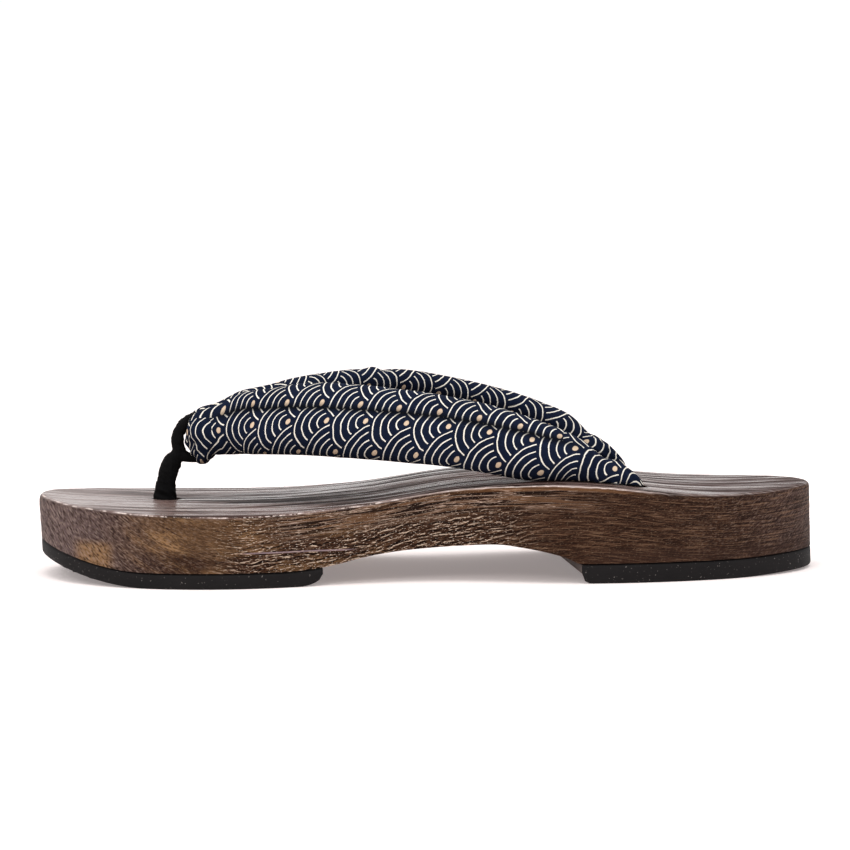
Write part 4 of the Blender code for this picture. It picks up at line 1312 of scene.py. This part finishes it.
def rubber_material():
    g = Graph("black_rubber")
    place = g.place((1000, 1000, 1000))
    facing = g.object_output("Normal")
    x = g.object_output("Object")[0]
    cloudy = g.noise(place, 0.12, 4.0, 0.6)
    dust = g.step(g.noise(place, 1.5, 1.0, 0.5), 0.71, 0.75)
    # painted light on the heel tread's front face
    painted_front_light = g.times(g.step(facing[0], -0.45, -0.80), g.step(x, 0.0, 0.01))
    colour = g.painted(
        g.mix(cloudy, (0.0045, 0.0040, 0.0042), (0.0115, 0.0100, 0.0105)),
        (g.times(dust, 0.70), (0.20, 0.18, 0.17)),
        (g.times(painted_front_light, 0.80), (0.17, 0.135, 0.125)),
    )
    tread_lines = g.math("SINE", g.times(x, 2 * math.pi / GROOVE_STEP))
    grooves = g.times(g.step(tread_lines, -0.35, 0.35), g.step(facing[2], -0.8, -0.97))
    grain = g.bump(g.noise(place, 3.2, 3.0, 0.6), 0.45, 0.00012)
    return g.finished(colour, 0.72, 0.16, g.bump(grooves, 0.8, 0.0006, grain))


# Toe thong and the tied ends under the base

CORD_SIDES = 28
LOOP_STEPS = 120
POST_STEPS = 48
# How much plumper the strand and the post are than their solids, before smoothing thins them
LOOP_PLUMPER = 0.0004
LOOP_PLUMPER_IN_FRONT = 0.0010
LOOP_WIDER = 0.0003
LOOP_INWARD = 0.0005
POST_LONGER = 0.0007
POST_WIDER = 0.0003
POST_FOOT_FORWARD = 0.0007
CORNER_SQUARED = 0.22
SKIN_CELL = 0.00034

def apex_box():
    ring = arm_rings(1)[0][1]
    return (
        min(point.x for point in ring),
        max(point.x for point in ring),
        max(point.z for point in ring),
        min(point.z for point in ring),
    )


def oval(core, outward, thickness, width):
    ring = []
    for index in range(CORD_SIDES):
        angle = 2 * math.pi * index / CORD_SIDES
        across = outward * math.cos(angle) * thickness / 2
        ring.append(core + across + Vector((0, math.sin(angle) * width / 2, 0)))
    return ring


def tube(rings, closed=False):
    count = len(rings[0])
    points = [tuple(p) for ring in rings for p in ring]
    faces = []
    total = len(rings)
    for index in range(total if closed else total - 1):
        a, b = index * count, ((index + 1) % total) * count
        faces += [(a + i, a + (i + 1) % count, b + (i + 1) % count, b + i) for i in range(count)]
    if not closed:
        faces.append(tuple(range(count))[::-1])
        faces.append(tuple((total - 1) * count + i for i in range(count)))
    return points, faces


def loop_rings():
    """The strand round the strap's bend, plumper where it stands free in front."""
    front, back, top, bottom = apex_box()
    reach = THONG_CLEARANCE + STRAND_THICKNESS / 2
    loop_front, loop_back = front - reach - STRAND_SLACK, back + reach
    loop_top, loop_bottom = top + reach, bottom - reach
    middle = Vector(((loop_front + loop_back) / 2, 0, (loop_top + loop_bottom) / 2))
    long, tall = (loop_back - loop_front) / 2, (loop_top - loop_bottom) / 2

    def core(turn):
        across, up = math.cos(turn), math.sin(turn)
        corners = LOOP_BACK_CORNER_POWER
        if across < 0 < up:
            corners = LOOP_FRONT_CORNER_POWER + CORNER_SQUARED
        return middle + Vector((
            math.copysign(abs(across) ** corners, across) * long,
            0,
            math.copysign(abs(up) ** corners, up) * tall,
        ))

    rings = []
    for step in range(LOOP_STEPS):
        turn = 2 * math.pi * (step + 0.5) / LOOP_STEPS
        heading = (core(turn + HEADING_STEP) - core(turn - HEADING_STEP)).normalized()
        free = smooth_step(-0.1, -0.9, math.cos(turn))
        rings.append(oval(
            core(turn) + Vector((LOOP_INWARD * free, 0, 0)),
            Vector((heading.z, 0, -heading.x)),
            STRAND_THICKNESS + LOOP_PLUMPER + LOOP_PLUMPER_IN_FRONT * free,
            STRAND_WIDTH + LOOP_WIDER,
        ))
    return rings, bottom


def post_rings(bottom):
    """The post from the loop down through the bed to the ceiling of its recess."""
    mouth = bed_height(*THONG_HOLE)

    def post(rise):
        lean = POST_LEAN * read(POST_TABLE, rise, 1) - POST_FOOT_FORWARD * (1 - rise)
        return Vector((THONG_HOLE[0] + lean, 0, mouth + (bottom - mouth) * rise))

    rings = []
    for step in range(POST_STEPS, -1, -1):
        rise = step / POST_STEPS
        heading = (post(max(rise - HEADING_STEP, 0)) - post(min(rise + HEADING_STEP, 1))).normalized()
        rings.append(oval(
            post(rise),
            Vector((heading.z, 0, -heading.x)),
            POST_LENGTHWISE * read(POST_TABLE, rise, 2) + POST_LONGER,
            POST_CROSSWISE * read(POST_TABLE, rise, 3) + POST_WIDER,
        ))
    ceiling = underside_height(THONG_HOLE[0]) + RECESS_DEPTH
    for share in (0.15, 0.4, 0.7, 1.0):
        z = mouth + (ceiling - mouth) * share
        width = POST_CROSSWISE + (POST_LENGTHWISE - POST_CROSSWISE) * max(0, 0.6 - share)
        rings.append(oval(Vector((*THONG_HOLE, z)), Vector((-1, 0, 0)), width, POST_CROSSWISE))
    return rings


def joined(tubes):
    points, faces = [], []
    for more, more_faces in tubes:
        faces += [tuple(len(points) + index for index in face) for face in more_faces]
        points += more
    return points, faces


def thong_cord(material):
    """Strand and post under one skin, wrinkled like cloth drawn tight."""
    strand, bottom = loop_rings()
    points, faces = joined((tube(strand, True), tube(post_rings(bottom))))
    made = new_piece("thong_cord", points, faces, material)
    turned_outward(made.data)
    remesh = made.modifiers.new("skin", "REMESH")
    remesh.mode = "VOXEL"
    remesh.voxel_size = SKIN_CELL
    smooth = made.modifiers.new("smooth", "SMOOTH")
    smooth.factor = 0.6
    smooth.iterations = 12
    evaluated = made.evaluated_get(bpy.context.evaluated_depsgraph_get())
    skin = bpy.data.meshes.new_from_object(evaluated)
    made.modifiers.clear()
    made.data = skin
    places, normals = np.zeros((2, len(skin.vertices) * 3))
    skin.vertices.foreach_get("co", places)
    skin.vertex_normals.foreach_get("vector", normals)
    places, normals = places.reshape(-1, 3), normals.reshape(-1, 3)
    x, y, z = (places * 1000).T
    round_post = np.arctan2(y, x - (THONG_HOLE[0] * 1000 + 1.5)) * 3
    on_post = smooth_step(bottom * 1000 + 1.0, bottom * 1000 - 2.5, z)
    wrinkles = layered_noise(z / 1.5 + 0.35 * round_post, round_post / 3.6, 101, 2)
    lengthwise = layered_noise(round_post / 0.95, z / 9.0, 107, 2)
    on_strand = layered_noise((x + z) / 1.5, (x - z) / 2.6 + y / 2.5, 113, 2)
    fuzz = layered_noise(x / 0.7 + y / 0.9, z / 0.7 - y / 1.1, 127, 2)
    out = on_post * (0.30 * wrinkles + 0.20 * lengthwise) + (1 - on_post) * 0.30 * on_strand + 0.05 * fuzz
    places += normals * (out / 1000)[:, None]
    skin.vertices.foreach_set("co", places.ravel())
    skin.materials.clear()
    skin.materials.append(material)
    skin.shade_smooth()
    return made


KNOT_CORD_RADIUS = 0.0019
KNOT_CORD_SIDES = 16
KNOT_STEPS = 132
KNOT_GAP = 0.0007
KNOT_REACH = 0.0034
KNOT_SWING = 0.0016
KNOT_RISE = 0.00125
NECK_STEPS = 14
NECK_THINNING = 0.35
END_STEPS = 8
END_TURN = 0.9
END_START = 0.0015
END_LENGTH = 0.0047
END_DROP = 0.0006
END_SAG = 0.0024
END_RADIUS = 0.0017
END_TIP_RADIUS = 0.0016
THONG_NECK_DEPTH = 0.012    # how far below the bed the neck of the thong's knot starts
STRAP_NECK_RISE = 0.0002    # how far above it the necks of the strap's knots start


def cord_rings(path, sizes, closed):
    rings = []
    total = len(path)
    side = Vector((0.3, 0.2, 1)).normalized()
    for i, place in enumerate(path):
        after = path[(i + 1) % total] if closed else path[min(i + 1, total - 1)]
        before = path[i - 1] if closed else path[max(i - 1, 0)]
        heading = (after - before).normalized()
        first = side.cross(heading).normalized()
        second = heading.cross(first)
        ring = []
        for k in range(KNOT_CORD_SIDES):
            angle = 2 * math.pi * k / KNOT_CORD_SIDES
            fuzz = 1 + 0.05 * float(value_noise(i / 3.0, k / 2.5, 131))
            ring.append(place + (first * math.cos(angle) + second * math.sin(angle)) * sizes[i] * fuzz)
        rings.append(ring)
    return rings


def tied_knot(name, hole, cord_radius, from_height, material, turn):
    """A cord that comes down a hole and ends in an overhand knot in its recess."""
    middle = underside_height(hole[0]) + RECESS_DEPTH - KNOT_GAP - KNOT_HEIGHT / 2
    lines = []
    for step in range(KNOT_STEPS):
        t = 2 * math.pi * step / KNOT_STEPS
        wide = KNOT_REACH + KNOT_SWING * math.cos(3 * t)
        lines.append(Vector((
            hole[0] + wide * math.cos(2 * t + turn),
            hole[1] + wide * math.sin(2 * t + turn),
            middle + KNOT_RISE * math.sin(3 * t),
        )))
    neck, neck_sizes = [], []
    for step in range(NECK_STEPS + 1):
        share = step / NECK_STEPS
        neck.append(Vector((*hole, from_height + (middle - from_height) * share)))
        neck_sizes.append(cord_radius * (1 - NECK_THINNING * smooth_step(0.55, 0.95, share)))
    out = Vector((math.cos(turn + END_TURN), math.sin(turn + END_TURN), 0))
    end, end_sizes = [], []
    for step in range(END_STEPS + 1):
        share = step / END_STEPS
        hang = Vector((0, 0, END_DROP + END_SAG * share**1.5))
        end.append(Vector((*hole, middle)) + out * (END_START + END_LENGTH * share) - hang)
        end_sizes.append(END_TIP_RADIUS if step > END_STEPS - 2 else END_RADIUS)
    points, faces = joined((
        tube(cord_rings(lines, [KNOT_CORD_RADIUS] * KNOT_STEPS, True), True),
        tube(cord_rings(neck, neck_sizes, False)),
        tube(cord_rings(end, end_sizes, False)),
    ))
    made = new_piece(name, points, faces, material)
    turned_outward(made.data)
    made.data.shade_smooth()
    return made


def cord_material():
    g = Graph("black_cord_cloth")
    place = g.place((1000, 1000, 1000))
    cloudy = g.noise(place, 0.22, 3.0, 0.6)
    lint = g.step(g.noise(place, 1.3, 3.0, 0.6), 0.66, 0.78)
    colour = g.painted(
        g.mix(cloudy, (0.0022, 0.0021, 0.0023), (0.0062, 0.0058, 0.0062)),
        (g.times(lint, 0.35), (0.028, 0.025, 0.026)),
    )
    threads = g.nodes.new("ShaderNodeTexWave")
    g.links.new(g.place((1000, 1000, 1000), (0.3, 0.7, 0.2)), threads.inputs["Vector"])
    threads.inputs["Scale"].default_value = 0.9
    threads.inputs["Distortion"].default_value = 3.0
    fine = g.bump(threads.outputs["Fac"], 0.35, 0.00012)
    return g.finished(colour, 0.92, 0.10, g.bump(g.noise(place, 2.2, 4.0, 0.65), 0.5, 0.00022, fine))


# Stage

FLOOR_REACH = 6.0
LAMPS = (
    # name, place, what it aims at, width, power
    ("overhead", (-0.10, -0.15, 0.90), (0, 0, 0.02), 0.5, 3.0),
    ("front", (-0.55, -0.95, 0.60), (0, 0, 0.04), 0.25, 2.2),
)
ROOM_LIGHT = (
    # axis, where it starts to brighten, where it is brightest, dim and bright strength
    (1, 0.30, 0.75, 0.0, 1.02),
    (2, 0.10, 0.85, 0.30, 1.45),
)
CAMERA_TURN = math.radians(5.5)
CAMERA_PITCH = math.radians(4.08)
CAMERA_AWAY = 0.950
CAMERA_HEIGHT = 0.1171
CAMERA_LEFT = 0.0016
CAMERA_LENS = 117.53


def floor_and_light():
    mesh = bpy.data.meshes.new("floor")
    corners = [(FLOOR_REACH * x, FLOOR_REACH * y, 0) for x, y in ((-1, -1), (1, -1), (1, 1), (-1, 1))]
    mesh.from_pydata(corners, [], [(0, 1, 2, 3)])
    floor = bpy.data.objects.new("floor", mesh)
    bpy.context.scene.collection.objects.link(floor)
    pale = bpy.data.materials.new("pale_floor")
    pale.use_nodes = True
    for name, value in (
        ("Base Color", (0.83, 0.765, 0.75, 1)),
        ("Roughness", 0.9),
        ("Specular IOR Level", 0.1),
        ("Emission Color", (1.0, 0.90, 0.885, 1)),
        ("Emission Strength", 0.26),
    ):
        pale.node_tree.nodes["Principled BSDF"].inputs[name].default_value = value
    mesh.materials.append(pale)
    world = bpy.data.worlds.new("studio")
    bpy.context.scene.world = world
    world.use_nodes = True
    back = world.node_tree.nodes["Background"]
    back.inputs["Color"].default_value = (1, 1, 1, 1)
    nodes, links = world.node_tree.nodes, world.node_tree.links
    direction = nodes.new("ShaderNodeTexCoord")
    parts = nodes.new("ShaderNodeSeparateXYZ")
    links.new(direction.outputs["Generated"], parts.inputs[0])
    # a bright white sweep behind, a soft box overhead, and a dimmer room in front
    highest = nodes.new("ShaderNodeMath")
    highest.operation = "MAXIMUM"
    for index, (axis, *limits) in enumerate(ROOM_LIGHT):
        ramp = nodes.new("ShaderNodeMapRange")
        ramp.interpolation_type = "SMOOTHSTEP"
        links.new(parts.outputs[axis], ramp.inputs[0])
        for socket, value in enumerate(limits, 1):
            ramp.inputs[socket].default_value = value
        links.new(ramp.outputs[0], highest.inputs[index])
    links.new(highest.outputs[0], back.inputs["Strength"])
    for name, place, aim, size, power in LAMPS:
        light = bpy.data.lights.new(name, "AREA")
        light.shape = "SQUARE"
        light.size = size
        light.energy = power
        lamp = bpy.data.objects.new(name, light)
        lamp.location = place
        lamp.rotation_euler = (Vector(aim) - Vector(place)).to_track_quat("-Z", "Y").to_euler()
        bpy.context.scene.collection.objects.link(lamp)


def camera():
    level = Vector((math.sin(CAMERA_TURN), math.cos(CAMERA_TURN), 0))
    right = Vector((math.cos(CAMERA_TURN), -math.sin(CAMERA_TURN), 0))
    forward = level * math.cos(CAMERA_PITCH) - Vector((0, 0, math.sin(CAMERA_PITCH)))
    upward = right.cross(forward)
    data = bpy.data.cameras.new("camera")
    data.sensor_width = 36
    data.lens = CAMERA_LENS
    data.clip_start = 0.05
    data.clip_end = 50
    made = bpy.data.objects.new("camera", data)
    place = Vector((0, 0, CAMERA_HEIGHT)) - level * CAMERA_AWAY - right * CAMERA_LEFT
    columns = Matrix((right, upward, -forward)).transposed().to_4x4()
    made.matrix_world = Matrix.Translation(place) @ columns
    bpy.context.scene.collection.objects.link(made)
    bpy.context.scene.camera = made


wood_look = wood_material()
rubber_look = rubber_material()
cord_look = cord_material()

base = wood_base(wood_look)
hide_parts("wooden_base")

front = rubber_tread("front_rubber", TOE_TIP, TOE_TIP + FRONT_TREAD_LENGTH, rubber_look)
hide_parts("front_tread")
heel = rubber_tread("heel_rubber", HEEL_TREAD_START, HEEL_TIP, rubber_look)
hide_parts("heel_tread")

cloth = strap_cloth(print_material())
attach(cloth, "root")
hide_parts("strap")

cord = thong_cord(cord_look)
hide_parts("toe_thong")
inside_post = bed_height(*THONG_HOLE) - THONG_NECK_DEPTH
thong_knot = tied_knot("thong_knot", THONG_HOLE, POST_CROSSWISE / 2, inside_post, cord_look, 0.4)
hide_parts("toe_thong")
for name, hole, turn in (("near_knot", NEAR_HOLE, 1.3), ("far_knot", FAR_HOLE, -0.8)):
    in_mouth = bed_height(*hole) + STRAP_NECK_RISE
    knot = tied_knot(name, hole, TAIL_RADIUS, in_mouth, cord_look, turn)
    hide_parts("strap")

bpy.context.scene.view_settings.view_transform = "Standard"
floor_and_light()
camera()
